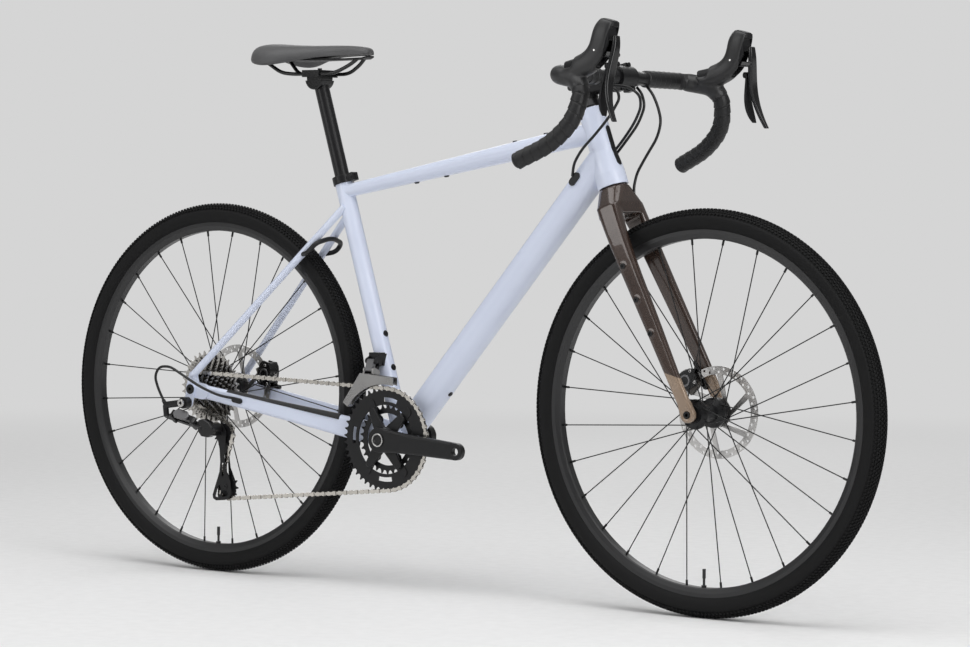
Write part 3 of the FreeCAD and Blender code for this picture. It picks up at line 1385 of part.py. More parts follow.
def link(start, end, radius, depth):
    """Round-ended bar between two points, as thick as the depth vector, which is square to it."""
    ahead = unit(end - start)
    side = unit(depth).cross(ahead)
    edges = [
        Part.LineSegment(start + side * radius, end + side * radius).toShape(),
        Part.Arc(end + side * radius, end + ahead * radius, end - side * radius).toShape(),
        Part.LineSegment(end - side * radius, start - side * radius).toShape(),
        Part.Arc(start - side * radius, start - ahead * radius, start + side * radius).toShape(),
    ]
    return Part.Face(Part.Wire(edges)).extrude(depth)


FALL = math.radians(LINK_FALL)
SLANT = math.radians(LINK_SLANT)
LINK_AHEAD = Vector(math.cos(FALL), 0, -math.sin(FALL))
LINK_NORMAL = Vector(math.sin(FALL), 0, math.cos(FALL))
LINK_AXIS = LINK_NORMAL * math.cos(SLANT) + Y_AXIS * math.sin(SLANT)
LINK_SIDE = LINK_AXIS.cross(LINK_AHEAD)
CAGE_PIVOT = GUIDE_PULLEY + CAGE_PIVOT_OFFSET
CAGE_OUTER_Y = CHAIN_Y - CAGE_HALF_WIDTH - CAGE_PLATE
CABLE_STOP = LINK_START + Vector(-20, 0, 15)
CABLE_STOP_END = CABLE_STOP + unit(LOOP_ROUTE[-1] - CABLE_STOP) * 11


def link_pivots(ahead):
    """Outer and inner pivot of the slanted linkage, at one end of the links."""
    outer = LINK_START + LINK_AHEAD * ahead
    return outer, outer + LINK_SIDE * LINK_SPACING


def rear_link(index):
    start = link_pivots(0.0)[index]
    end = link_pivots(LINK_LENGTH)[index]
    bottom = LINK_AXIS * (-LINK_THICKNESS / 2)
    bar = link(start + bottom, end + bottom, LINK_HALF_WIDTH, LINK_AXIS * LINK_THICKNESS)
    reach = LINK_AXIS * LINK_THICKNESS
    bore = LINK_PIN_RADIUS + RUNNING_CLEARANCE
    return cut_all(bar, [cylinder(point - reach, point + reach, bore) for point in (start, end)])


def linkage_lug(ahead, reach):
    """Plate under the link ends with both pivot pins, stretched past them along the links."""
    pivots = link_pivots(ahead)
    top = LINK_AXIS * (-LINK_THICKNESS / 2 - MOVING_GAP)
    depth = LINK_AXIS * -LINK_LUG
    middle = (pivots[0] + pivots[1]) / 2
    parts = [link(pivots[0] + top, pivots[1] + top, 5, depth),
             link(middle + top, middle + top + LINK_AHEAD * reach, 6, depth)]
    for pivot in pivots:
        parts.append(cylinder(pivot + top + depth, pivot + LINK_AXIS * (LINK_THICKNESS / 2),
                              LINK_PIN_RADIUS))
    return parts, middle + top + depth / 2 + LINK_AHEAD * reach


def b_knuckle():
    parts, lug_end = linkage_lug(0.0, -17.0)
    face = HANGER_OUTER_Y - MOVING_GAP
    housing = cross_cylinder(HANGER_POINT, 11, face, face - 15)
    bolt = cross_cylinder(HANGER_POINT, HANGER_BORE_RADIUS - RUNNING_CLEARANCE, -DROPOUT_OUTER, face)
    shoulder = Vector(HANGER_POINT.x - 4, face - 9, HANGER_POINT.z)
    arms = [cylinder(shoulder, CABLE_STOP, 6.5), cylinder(CABLE_STOP, lug_end, 5.5),
            cylinder(CABLE_STOP, CABLE_STOP_END, 3.8)]
    return joined(parts + [housing, bolt] + arms)


def p_knuckle():
    parts, lug_end = linkage_lug(LINK_LENGTH, 16.0)
    face = CAGE_OUTER_Y - MOVING_GAP
    housing = cross_cylinder(CAGE_PIVOT, 13, face, face - 22)
    arm = cylinder(lug_end, Vector(CAGE_PIVOT.x, face - 12, CAGE_PIVOT.z), 6)
    body = joined(parts + [housing, arm])
    return body.cut(cross_cylinder(CAGE_PIVOT, 5 + RUNNING_CLEARANCE, face, face - 18))


def cage_fin(y_from, y_to):
    """Wide lower end of a cage plate, behind and below the tension pulley."""
    down = unit(TENSION_PULLEY - GUIDE_PULLEY)
    back = Vector(down.z, 0, -down.x)
    low_y = min(y_from, y_to)
    corners = []
    for behind, below in CAGE_FIN:
        corner = TENSION_PULLEY + back * behind + down * below
        corners.append(Vector(corner.x, low_y, corner.z))
    return polygon_face(corners).extrude(Vector(0, abs(y_to - y_from), 0))


def rear_cage():
    """Two plates that hold the pulleys on their bolts, and the pivot stub."""
    inner_face = CHAIN_Y + CAGE_HALF_WIDTH
    outer_face = CHAIN_Y - CAGE_HALF_WIDTH
    parts = []
    for near, far in ((inner_face, inner_face + CAGE_PLATE), (outer_face, outer_face - CAGE_PLATE)):
        parts.append(plate(GUIDE_PULLEY, TENSION_PULLEY, 11, 9, near, far))
        parts.append(cage_fin(near, far))
    parts.append(plate(CAGE_PIVOT, GUIDE_PULLEY, 11, 11, outer_face, outer_face - CAGE_PLATE))
    parts.append(cross_cylinder(CAGE_PIVOT, 5, outer_face, CAGE_OUTER_Y - MOVING_GAP - 17))
    for centre in (GUIDE_PULLEY, TENSION_PULLEY):
        parts.append(cross_cylinder(centre, 2.5, inner_face + CAGE_PLATE, outer_face - CAGE_PLATE))
    return joined(parts)


def pulley(centre, wheel_index):
    phase = seat_phase(wheel_index, centre)
    bore = 2.5 + RUNNING_CLEARANCE
    disc = toothed_disc(centre, PULLEY_TEETH, phase, CHAIN_Y, SPROCKET_THICKNESS,
                        lambda low: [circle_wire(centre, bore, low)])
    hub_half = CAGE_HALF_WIDTH - MOVING_GAP
    return joined([disc, cross_ring(centre, 7, bore, CHAIN_Y - hub_half, CHAIN_Y + hub_half)])


MECH_TURN = math.radians(MECH_LINK_ANGLE)
MECH_REACH = Vector(0, -math.sin(MECH_TURN), -math.cos(MECH_TURN)) * MECH_LINK_LENGTH
MECH_FIXED = (Vector(MECH_PIVOT_X, MECH_PIVOT_Y, MECH_PIVOT_Z),
              Vector(MECH_PIVOT_X, MECH_PIVOT_Y + MECH_LINK_SPACING[0], MECH_PIVOT_Z + MECH_LINK_SPACING[1]))


def mech_ears(start, end, radius):
    """Pair of ears either side of the links."""
    half = MECH_LINK_WIDTH / 2 + MOVING_GAP
    ears = []
    for low in (half, -half - MECH_EAR):
        shift = Vector(low, 0, 0)
        ears.append(link(start + shift, end + shift, radius, Vector(MECH_EAR, 0, 0)))
    return ears


def mech_pin(point):
    reach = Vector(MECH_LINK_WIDTH / 2 + MOVING_GAP + MECH_EAR, 0, 0)
    return cylinder(point - reach, point + reach, MECH_PIN_RADIUS)


def front_mech_body():
    top = Vector(MECH_PIVOT_X, MECH_PIVOT_Y + 4, MECH_PIVOT_Z + 12)
    half = MECH_LINK_WIDTH / 2 + MOVING_GAP + MECH_EAR
    block = Part.makeBox(2 * half, 18, 12, Vector(MECH_PIVOT_X - half, MECH_PIVOT_Y - 4, MECH_PIVOT_Z + 8))
    corner = Vector(MECH_PIVOT_X - half, MECH_PIVOT_Y + 8, MECH_PIVOT_Z - 4)
    bracket = Part.makeBox(2 * half, 26, 22, corner)
    parts = [block, bracket] + mech_ears(MECH_FIXED[0], top, 5) + mech_ears(MECH_FIXED[1], top, 5)
    body = joined(parts + [mech_pin(point) for point in MECH_FIXED])
    return body.cut(seat_tube_outside())


def front_mech_link(index):
    start = MECH_FIXED[index] - Vector(MECH_LINK_WIDTH / 2, 0, 0)
    bar = link(start, start + MECH_REACH, 4, Vector(MECH_LINK_WIDTH, 0, 0))
    ends = (MECH_FIXED[index], MECH_FIXED[index] + MECH_REACH)
    reach = Vector(MECH_LINK_WIDTH, 0, 0)
    bore = MECH_PIN_RADIUS + RUNNING_CLEARANCE
    return cut_all(bar, [cylinder(point - reach, point + reach, bore) for point in ends])


def front_mech_cage():
    """Inner and outer guide plates round the chain, with ears for the links."""
    low = sprocket_radius(BIG_RING_TEETH) + CHAIN_PLATE_RADIUS + MECH_RING_GAP
    front, rear = MECH_CAGE_ANGLES
    outer_y = BIG_RING_Y - MECH_CAGE_OUTER
    inner_y = BIG_RING_Y + MECH_CAGE_INNER

    def side_plate(y, depth):
        top = wheel_point(CRANK_AXLE, low + MECH_CAGE_HEIGHT, 90, y).z
        points = [wheel_point(CRANK_AXLE, low, angle, y) for angle in (front, (front + rear) / 2, rear)]
        tail = wheel_point(CRANK_AXLE, low + 14, rear, y)
        shoulder = Vector(MECH_PIVOT_X - 12, y, top + 2)
        nose = Vector(points[0].x, y, top - 4)
        edges = [Part.Arc(*points).toShape()]
        corners = [points[2], tail, shoulder, nose, points[0]]
        edges += [Part.LineSegment(a, b).toShape() for a, b in zip(corners, corners[1:])]
        return Part.Face(Part.Wire(edges)).extrude(Vector(0, depth, 0))

    parts = [side_plate(outer_y, -MECH_CAGE_PLATE), side_plate(inner_y, MECH_CAGE_PLATE)]
    span = (outer_y - MECH_CAGE_PLATE, inner_y + MECH_CAGE_PLATE)
    tail_wire = sector_wire(CRANK_AXLE, low, low + 2, rear - 3, rear, rear - 3, rear, span[0])
    parts.append(Part.Face(tail_wire).extrude(Vector(0, span[1] - span[0], 0)))
    top = wheel_point(CRANK_AXLE, low + MECH_CAGE_HEIGHT, 90).z
    parts.append(Part.makeBox(20, span[1] - span[0], 3, Vector(MECH_PIVOT_X - 10, span[0], top - 2)))
    moving = [point + MECH_REACH for point in MECH_FIXED]
    foot = Vector(MECH_PIVOT_X, inner_y + MECH_CAGE_PLATE / 2, top - 2)
    parts += mech_ears(moving[0], moving[1], 4.5) + mech_ears(moving[1], foot, 4)
    half = MECH_LINK_WIDTH / 2 + MOVING_GAP + MECH_EAR
    parts.append(Part.makeBox(2 * half, 8, 3, Vector(MECH_PIVOT_X - half, foot.y - 5, top - 3)))
    return joined(parts + [mech_pin(point) for point in moving])


# Fork

def blade(side):
    sections = []
    for along, forward, spread, depth, width in BLADE_SECTIONS:
        centre = head_point(along, forward, side * spread)
        sections.append(rounded_section(centre, Y_AXIS, HEAD_FORWARD, width, depth, 0.4 * width))
    return loft(sections)


def fork_tip(side):
    along, forward, spread, depth, width = BLADE_SECTIONS[-1]
    inner = side * FRONT_SPACING / 2
    outer = side * (FRONT_SPACING / 2 + FORK_TIP_THICKNESS)
    return plate(head_point(along, forward), FRONT_AXLE, depth / 2, FORK_TIP_RADIUS, inner, outer)


def fork_crown():
    """Shoulder that spreads from the head tube's lower edge to both blades."""
    top = head_point(FORK_LENGTH)
    across = 2 * HEAD_TUBE_LOWER_RADIUS - 2
    circle = rounded_section(top, Y_AXIS, HEAD_FORWARD, across, across, 26)
    along, forward, spread, depth, width = BLADE_SECTIONS[0]
    wide = 2 * spread + width
    shoulder = rounded_section(head_point(along, forward), Y_AXIS, HEAD_FORWARD, wide, depth + 4, 18)
    foot = head_point(FORK_LENGTH - CROWN_HEIGHT, 0)
    base = rounded_section(foot, Y_AXIS, HEAD_FORWARD, wide + 4, depth, 14)
    return loft([circle, shoulder, base], True)


def boss_place(height, side):
    """Centre of a luggage boss on the outer face of a blade, at a height along the steering axis."""
    for (low, high) in zip(BLADE_SECTIONS[1:], BLADE_SECTIONS):
        if low[0] <= height <= high[0]:
            share = (height - low[0]) / (high[0] - low[0])
            forward, spread, _, width = [a + (b - a) * share for a, b in zip(low[1:], high[1:])]
            return head_point(height, forward - BLADE_BOSS_SETBACK, side * (spread + width / 2))
    return head_point(height)


def fork():
    parts = [fork_crown()]
    for side in (-1, 1):
        parts += [blade(side), fork_tip(side)]
    top = head_point(STEM_MIDDLE + STEM_CLAMP_HEIGHT / 2 - 2)
    height = (top - head_point(FORK_LENGTH)).Length
    steerer = spin_outline(
        [(0, -10), (STEERER_LOWER_RADIUS, -10),
         (STEERER_LOWER_RADIUS, HEADSET_LOWER_GAP + HEADSET_BEARING_HEIGHT + 4),
         (STEERER_RADIUS, HEADSET_LOWER_GAP + HEADSET_BEARING_HEIGHT + 60),
         (STEERER_RADIUS, height), (0, height)],
        head_point(FORK_LENGTH), HEAD_UP)
    race = tube(head_point(FORK_LENGTH), head_point(HEAD_BOTTOM - MOVING_GAP), HEADSET_BORE_LOWER,
                STEERER_LOWER_RADIUS)
    solid = joined(parts + [steerer, race])
    half = CROWN_ARCH_WIDTH / 2
    tools = [cross_cylinder(FRONT_AXLE, CROWN_ARCH_RADIUS, -half, half),
             cylinder(head_point(FORK_LENGTH - 12), top, STEERER_BORE),
             cross_cylinder(FRONT_AXLE, AXLE_RADIUS, -100, 100)]
    for side in (-1, 1):
        inner = side * FRONT_SPACING / 2
        tools.append(cross_cylinder(FRONT_AXLE, FORK_TIP_RADIUS + 1, 0, inner))
    solid = cut_all(solid, tools)
    for side in (-1, 1):
        out = Vector(0, side, 0)
        for height in BLADE_BOSS_HEIGHTS:
            place = boss_place(height, side)
            mouth = place + out * BLADE_BOSS_HEIGHT
            solid = solid.fuse(cylinder(place - out * 3, mouth, BLADE_BOSS_RADIUS))
            solid = solid.cut(cylinder(mouth, mouth - out * BOSS_THREAD_DEPTH, BOSS_THREAD_RADIUS))
    return solid


# Stem and handlebar

STEM_AHEAD = unit(BAR_CENTRE - head_point(STEM_MIDDLE))
STEM_ACROSS = Vector(-STEM_AHEAD.z, 0, STEM_AHEAD.x)


def stem():
    """Stem body, faceplate, bolts, headset cover, spacer and top cap."""
    low = head_point(STEM_MIDDLE - STEM_CLAMP_HEIGHT / 2)
    high = head_point(STEM_MIDDLE + STEM_CLAMP_HEIGHT / 2)
    clamp_outer = BAR_CLAMP_RADIUS + STEM_WALL
    half = BAR_CLAMP_WIDTH / 2
    collar = cylinder(low, high, STEERER_RADIUS + STEM_WALL)
    beam = cylinder(head_point(STEM_MIDDLE), BAR_CENTRE, BAR_CLAMP_RADIUS)
    clamp = cross_cylinder(BAR_CENTRE, clamp_outer, -half, half)
    lugs = local_box(BAR_CENTRE, STEM_AHEAD, 14, STEM_ACROSS, 2 * clamp_outer + 10, -half, half)
    whole = joined([collar, beam, clamp, lugs])
    whole = cut_all(whole, [cylinder(low, high, STEERER_RADIUS),
                            cross_cylinder(BAR_CENTRE, BAR_CLAMP_RADIUS, -half, half),
                            local_box(BAR_CENTRE, STEM_AHEAD, 14, STEM_ACROSS, 90, -half + 13, half - 13)
                            .cut(cross_cylinder(BAR_CENTRE, clamp_outer, -half, half))])
    reach = 2 * clamp_outer
    ahead_of = local_box(BAR_CENTRE + STEM_AHEAD * reach / 2, STEM_AHEAD, reach, STEM_ACROSS, 2 * reach,
                         -half, half)
    split = local_box(BAR_CENTRE, STEM_AHEAD, 1.2, STEM_ACROSS, 2 * reach, -half, half)
    body = whole.cut(ahead_of).cut(split)
    face = whole.common(ahead_of).cut(split)
    bolts = []
    for side in (-1, 1):
        for rise in (-1, 1):
            centre = BAR_CENTRE + STEM_ACROSS * (rise * (clamp_outer + 1))
            centre = centre + Vector(0, side * (half - 6.5), 0)
            bolts.append(cylinder(centre - STEM_AHEAD * 12, centre + STEM_AHEAD * 7, 2.5)
                         .fuse(cylinder(centre + STEM_AHEAD * 7, centre + STEM_AHEAD * 10, 4)))
    body = cut_all(body, bolts)
    face = cut_all(face, bolts)
    for height in (-11, 11):
        centre = head_point(STEM_MIDDLE + height, -STEERER_RADIUS - STEM_WALL - 3)
        lug = cross_cylinder(centre, 6, -11, 11).cut(cylinder(low, high, STEERER_RADIUS))
        body = body.fuse(lug).cut(cross_cylinder(centre, 2.5, -20, 20))
        bolts.append(cross_cylinder(centre, 2.5, -11, 12))
    cover_bottom = HEAD_TOP + MOVING_GAP
    cover = spin_outline(
        [(STEERER_RADIUS, 0), (HEAD_TUBE_UPPER_RADIUS, 0), (HEAD_TUBE_UPPER_RADIUS, 3),
         (STEERER_RADIUS + STEM_WALL, COVER_HEIGHT - MOVING_GAP),
         (STEERER_RADIUS, COVER_HEIGHT - MOVING_GAP)],
        head_point(cover_bottom), HEAD_UP)
    spacer = tube(head_point(HEAD_TOP + COVER_HEIGHT), low, STEERER_RADIUS + STEM_WALL - 1, STEERER_RADIUS)
    cap = cylinder(high, high + HEAD_UP * 4, STEERER_RADIUS + STEM_WALL - 1)
    plug = cylinder(high - HEAD_UP * 24, high, STEERER_BORE)
    return compound([body, face, cover, spacer, joined([cap, plug])] + bolts)


def bar_route(start_y):
    """Right half of the bar from a place on its straight top to the end of the drop."""
    corner = BAR_ROUTE[0]
    start = Vector(corner.x * start_y / corner.y, start_y, 0)
    return [BAR_CENTRE + point for point in (start,) + BAR_ROUTE]


def handlebar():
    half = BAR_CLAMP_WIDTH / 2 + 6
    side = pipe(bar_route(-half), BAR_RADIUS)
    cone = Part.makeCone(BAR_CLAMP_RADIUS, BAR_RADIUS, BAR_CLAMP_ZONE - half,
                         BAR_CENTRE - Vector(0, half, 0), Vector(0, -1, 0))
    middle = cross_cylinder(BAR_CENTRE, BAR_CLAMP_RADIUS, -half, half)
    return joined([middle] + both_sides(side) + both_sides(cone))


def bar_tape(hood_space):
    """Wrapped sleeve from beside the stem to the bar end on each side, with the end plugs."""
    route = bar_route(-TAPE_START)
    sleeve = pipe(route, BAR_RADIUS + TAPE_THICKNESS).cut(pipe(bar_route(-TAPE_START + 10), BAR_RADIUS))
    sleeve = sleeve.cut(hood_space)
    ahead = unit(route[-1] - route[-2])
    plug = joined([cylinder(route[-1], route[-1] + ahead * 3, BAR_RADIUS + TAPE_THICKNESS),
                   cylinder(route[-1] + ahead * 3, route[-1] + ahead * 5, BAR_RADIUS)])
    solids = list(sleeve.Solids) + [plug]
    return compound(solids + [mirrored(solid) for solid in solids])


# Shifter bodies, hoods and levers, modelled on the right and mirrored

def hood_form(inset):
    sections = []
    for offset, pitch, width, depth in HOOD_SPINE:
        turn = math.radians(pitch)
        ahead = Vector(math.cos(turn), 0, math.sin(turn))
        up = Vector(-ahead.z, 0, ahead.x)
        width = width - 2 * inset
        depth = depth - 2 * inset
        sections.append(rounded_section(BAR_CENTRE + offset, Y_AXIS, up, width, depth, 0.42 * width))
    return loft(sections)


def front_cut(x_low, z_low, x_high, z_high):
    """Prism ahead of a slanted line across the hood, drawn from the bar clamp centre."""
    y = LEVER_PIVOT_Y - 40
    points = [Vector(x_low, y, z_low), Vector(x_high, y, z_high), Vector(x_high + 120, y, z_high),
              Vector(x_low + 120, y, z_low)]
    return polygon_face([BAR_CENTRE + point for point in points]).extrude(Vector(0, 80, 0))


def lever_pivot():
    return BAR_CENTRE + Vector(LEVER_PIVOT.x, LEVER_PIVOT_Y, LEVER_PIVOT.z)


def lever_slot():
    """Space in the body and the hood for the lever's hub and web."""
    pivot = lever_pivot()
    half = LEVER_HUB_WIDTH / 2 + MOVING_GAP
    low = Vector(pivot.x - LEVER_SLOT_RADIUS + 4, pivot.y - half, pivot.z - LEVER_SLOT_RADIUS - 12)
    return Part.makeBox(60, 2 * half, 2 * LEVER_SLOT_RADIUS + 20, low)


def shifter_body():
    """Hard inner body with the clamp zone, the lever slot and the lever pin."""
    pivot = lever_pivot()
    half = LEVER_HUB_WIDTH / 2 + MOVING_GAP
    corner = Vector(BAR_CENTRE.x + 122, pivot.y - 40, BAR_CENTRE.z + 74 - 240)
    blade_room = Part.makeBox(60, 80, 240, corner)
    tools = [lever_slot(), blade_room, pipe(bar_route(-TAPE_START), BAR_RADIUS + SEAT_GAP)]
    core = cut_all(hood_form(HOOD_THICKNESS), tools)
    core = max(core.Solids, key=lambda solid: solid.Volume)
    pin = cross_cylinder(pivot, LEVER_PIN_RADIUS, pivot.y - half - 3, pivot.y + half + 3)
    return joined([core, pin])


def lever_hood():
    space = [hood_form(HOOD_THICKNESS), front_cut(*HOOD_EDGE), lever_slot(),
             pipe(bar_route(-TAPE_START), BAR_RADIUS + SEAT_GAP)]
    shell = cut_all(hood_form(0), space)
    return max(shell.Solids, key=lambda solid: solid.Volume)


def blade_loft(spine):
    sections = []
    for offset, thickness, width in spine:
        sections.append(rounded_section(BAR_CENTRE + offset, Vector(1, 0, 0), Y_AXIS, thickness, width,
                                        0.4 * thickness))
    return loft(sections)


def brake_lever():
    pivot = lever_pivot()
    half = LEVER_HUB_WIDTH / 2
    front = BAR_CENTRE + Vector(LEVER_SPINE[1][0].x, 0, LEVER_SPINE[1][0].z)
    web = plate(pivot, front, LEVER_HUB_RADIUS, 4, pivot.y - half, pivot.y + half)
    pin_place = BAR_CENTRE + PADDLE_PIN_POINT
    pin = cylinder(pin_place - Vector(9, 0, 0), pin_place + Vector(8, 0, 0), PADDLE_PIN_RADIUS)
    body = joined([blade_loft(LEVER_SPINE), web, pin])
    bore = LEVER_PIN_RADIUS + RUNNING_CLEARANCE
    return body.cut(cross_cylinder(pivot, bore, pivot.y - 20, pivot.y + 20))


def shift_paddle():
    place = BAR_CENTRE + PADDLE_PIN_POINT
    hub_piece = cylinder(place - Vector(7, 0, 0), place + Vector(1, 0, 0), 5.5)
    body = joined([blade_loft(PADDLE_SPINE), hub_piece])
    bore = PADDLE_PIN_RADIUS + RUNNING_CLEARANCE
    return body.cut(cylinder(place - Vector(20, 0, 0), place + Vector(20, 0, 0), bore))


# Seat

def seatpost():
    low = seat_point(SEAT_TUBE_LENGTH - POST_INSERTION)
    shaft = cylinder(low, seat_point(POST_HEAD_HEIGHT - CRADLE_RADIUS + 2), SEATPOST_RADIUS)
    half = CRADLE_WIDTH / 2
    cradle = cross_cylinder(CRADLE_CENTRE, CRADLE_RADIUS + 4, -half, half)
    above = Part.makeBox(80, 80, 60, Vector(CRADLE_CENTRE.x - 40, -40, CRADLE_CENTRE.z - 4))
    drum_room = cross_cylinder(CRADLE_CENTRE, CRADLE_RADIUS + MOVING_GAP, -half, half)
    return cut_all(joined([shaft, cradle]), [drum_room, above])


def saddle_rails(base):
    """Two rails and the clamp that turns in the seatpost cradle."""
    half = CRADLE_WIDTH / 2
    drum = cross_cylinder(CRADLE_CENTRE, CRADLE_RADIUS, -half, half)
    over = Part.makeBox(80, 80, 60, Vector(CRADLE_CENTRE.x - 40, -40, CRADLE_CENTRE.z + RAIL_HEIGHT))
    jaw = Part.makeBox(40, 2 * (RAIL_SPREAD + 6), 13,
                       Vector(CRADLE_CENTRE.x - 20, -RAIL_SPREAD - 6, CRADLE_CENTRE.z + RAIL_HEIGHT - 6))
    foot = CRADLE_CENTRE + Vector(0, 0, RAIL_HEIGHT)
    bolt = cylinder(foot, foot + Vector(0, 0, 11), 4)
    rail = pipe([CRADLE_CENTRE + point for point in RAIL_ROUTE], RAIL_RADIUS).cut(base)
    rails = both_sides(max(rail.Solids, key=lambda solid: solid.Volume))
    clamp = cut_all(joined([drum.cut(over), jaw, bolt]), rails)
    return compound(rails + [clamp])


def saddle_base():
    sections = []
    for x, half, bottom, _ in SADDLE_SECTIONS:
        top = bottom - SEAT_GAP
        low = top - SADDLE_BASE_THICKNESS
        side = SADDLE_BASE_SHARE * half
        corners = [Vector(x, side, top), Vector(x, -side, top), Vector(x, -side, low), Vector(x, side, low)]
        sections.append(Part.makePolygon([CRADLE_CENTRE + corner for corner in corners + corners[:1]]))
    return loft(sections, True)


def saddle_cover():
    """Padded top with a crowned surface and drawn-in sides."""
    sections = []
    for x, half, bottom, top in SADDLE_SECTIONS:
        height = top - bottom

        def at(y, z):
            return CRADLE_CENTRE + Vector(x, y, z)

        shoulder = top - 0.2 * height
        edges = [
            Part.LineSegment(at(-0.8 * half, bottom), at(0.8 * half, bottom)).toShape(),
            Part.Arc(at(0.8 * half, bottom), at(half, bottom + 0.4 * height),
                     at(0.82 * half, shoulder)).toShape(),
            Part.Arc(at(0.82 * half, shoulder), at(0, top), at(-0.82 * half, shoulder)).toShape(),
            Part.Arc(at(-0.82 * half, shoulder), at(-half, bottom + 0.4 * height),
                     at(-0.8 * half, bottom)).toShape(),
        ]
        sections.append(Part.Wire(edges))
    return loft(sections, True)


# Control lines

def control_cables(frame_solids):
    routes = (("right port line", RIGHT_PORT_ROUTE), ("left upper line", LEFT_UPPER_ROUTE),
              ("left lower line", LEFT_LOWER_ROUTE), ("rear derailleur loop", LOOP_ROUTE + (CABLE_STOP_END,)))
    return compound([cut_all(hose(name, list(route), HOSE_RADIUS), frame_solids) for name, route in routes])


# All pieces, each in its own file

def build():
    front_ends = (-FRONT_SPACING / 2 + 4, FRONT_SPACING / 2 - 4)
    rear_left_end = REAR_SPACING / 2 - 5
    fork_solid = fork()
    body = shifter_body()
    hood = lever_hood()
    hood_space = hood_form(0)
    bar = handlebar()
    base = saddle_base()
    lever = brake_lever()
    paddle = shift_paddle()
    tubes = {"head_tube": head_tube(), "top_tube": top_tube(), "down_tube": down_tube(),
             "seat_tube": seat_tube()}
    stays = compound([finished_chainstay(-1), finished_chainstay(1)])
    fittings = frame_fittings()
    nodes = dict(tubes)
    nodes.update({
        "bottom_bracket_shell": bottom_bracket_shell(),
        "chainstays": stays,
        "seatstays": compound([cut_all(finished_seatstay(side), [tubes["top_tube"]]) for side in (-1, 1)]),
        "dropouts": compound([dropout(-1), dropout(1)]),
        "frame_bearings": frame_bearings(),
        "seat_clamp": seat_clamp(),
        "rear_axle": thru_axle(REAR_AXLE, HANGER_OUTER_Y, DROPOUT_OUTER, REAR_SPACING),
        "frame_fittings": fittings,
        "rear_brake_caliper": rear_caliper(),
        "front_mech_body": front_mech_body(),
        "chain": chain(),
        "control_cables": control_cables([tubes["down_tube"], tubes["head_tube"], stays, fittings, bar]),
        "fork": fork_solid,
        "front_axle": thru_axle(FRONT_AXLE, -FRONT_SPACING / 2 - FORK_TIP_THICKNESS,
                                FRONT_SPACING / 2 + FORK_TIP_THICKNESS, FRONT_SPACING),
        "stem": stem(),
        "handlebar": bar,
        "bar_tape": bar_tape(hood_space),
        "shifter_bodies": compound(both_sides(body)),
        "lever_hoods": compound(both_sides(hood)),
        "front_brake_caliper": front_caliper(fork_solid),
        "front_brake_hose": cut_all(hose("front hose", list(FRONT_HOSE_ROUTE), HOSE_RADIUS),
                                    [fork_solid, bar]),
        "front_tyre": tyre(FRONT_AXLE),
        "front_rim": rim_with_valve(FRONT_AXLE),
        "front_spokes": spokes(FRONT_AXLE, FRONT_FLANGES),
        "front_hub": hub(FRONT_AXLE, FRONT_FLANGES, front_ends[0], front_ends[1], FRONT_ROTOR_Y),
        "front_rotor": rotor(FRONT_AXLE, FRONT_ROTOR_Y),
        "rear_tyre": tyre(REAR_AXLE),
        "rear_rim": rim_with_valve(REAR_AXLE),
        "rear_spokes": spokes(REAR_AXLE, REAR_FLANGES),
        "rear_hub": hub(REAR_AXLE, REAR_FLANGES, REAR_HUB_RIGHT_END, rear_left_end, REAR_ROTOR_Y),
        "rear_rotor": rotor(REAR_AXLE, REAR_ROTOR_Y),
        "cassette": cassette(),
        "crank_arms": crank_arms(),
        "chainrings": chainrings(),
        "front_mech_outer_link": front_mech_link(1),
        "front_mech_inner_link": front_mech_link(0),
        "front_mech_cage": front_mech_cage(),
        "rear_mech_b_knuckle": b_knuckle(),
        "rear_mech_outer_link": rear_link(0),
        "rear_mech_inner_link": rear_link(1),
        "rear_mech_p_knuckle": p_knuckle(),
        "rear_mech_cage": rear_cage(),
        "guide_pulley": pulley(GUIDE_PULLEY, 2),
        "tension_pulley": pulley(TENSION_PULLEY, 3),
        "brake_lever_right": lever,
        "brake_lever_left": mirrored(lever),
        "shift_paddle_right": paddle,
        "shift_paddle_left": mirrored(paddle),
        "front_pad_inner": pad_box(FRONT_AXLE, FRONT_PAD_ANGLE, FRONT_ROTOR_Y, -1),
        "front_pad_outer": pad_box(FRONT_AXLE, FRONT_PAD_ANGLE, FRONT_ROTOR_Y, 1),
        "rear_pad_inner": pad_box(REAR_AXLE, REAR_PAD_ANGLE, REAR_ROTOR_Y, -1),
        "rear_pad_outer": pad_box(REAR_AXLE, REAR_PAD_ANGLE, REAR_ROTOR_Y, 1),
        "seatpost": seatpost(),
        "saddle_rails": saddle_rails(base),
        "saddle_base": base,
        "saddle_cover": saddle_cover(),
    })
    return nodes


os.makedirs("parts", exist_ok=True)
for name, shape in build().items():
    if not shape.isValid():
        print("not valid:", name)
    shape.exportStep("parts/" + name + ".step")
    print(name, len(shape.Solids), "solids", round(shape.Volume / 1000, 2), "cm3")
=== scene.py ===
import math

import bmesh
import bpy
from mathutils import Matrix, Vector
from mathutils.bvhtree import BVHTree
from mathutils.geometry import tessellate_polygon


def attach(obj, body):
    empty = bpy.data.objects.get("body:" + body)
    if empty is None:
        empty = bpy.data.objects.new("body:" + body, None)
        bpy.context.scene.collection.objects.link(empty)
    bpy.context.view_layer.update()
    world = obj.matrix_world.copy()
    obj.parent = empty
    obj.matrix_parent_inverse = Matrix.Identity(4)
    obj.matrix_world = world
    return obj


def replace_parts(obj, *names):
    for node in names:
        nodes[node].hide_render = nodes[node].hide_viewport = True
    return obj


# Gravel bicycle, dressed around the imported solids. Metres, +X forward, +Y to the rider's left, +Z up.

MM = 0.001

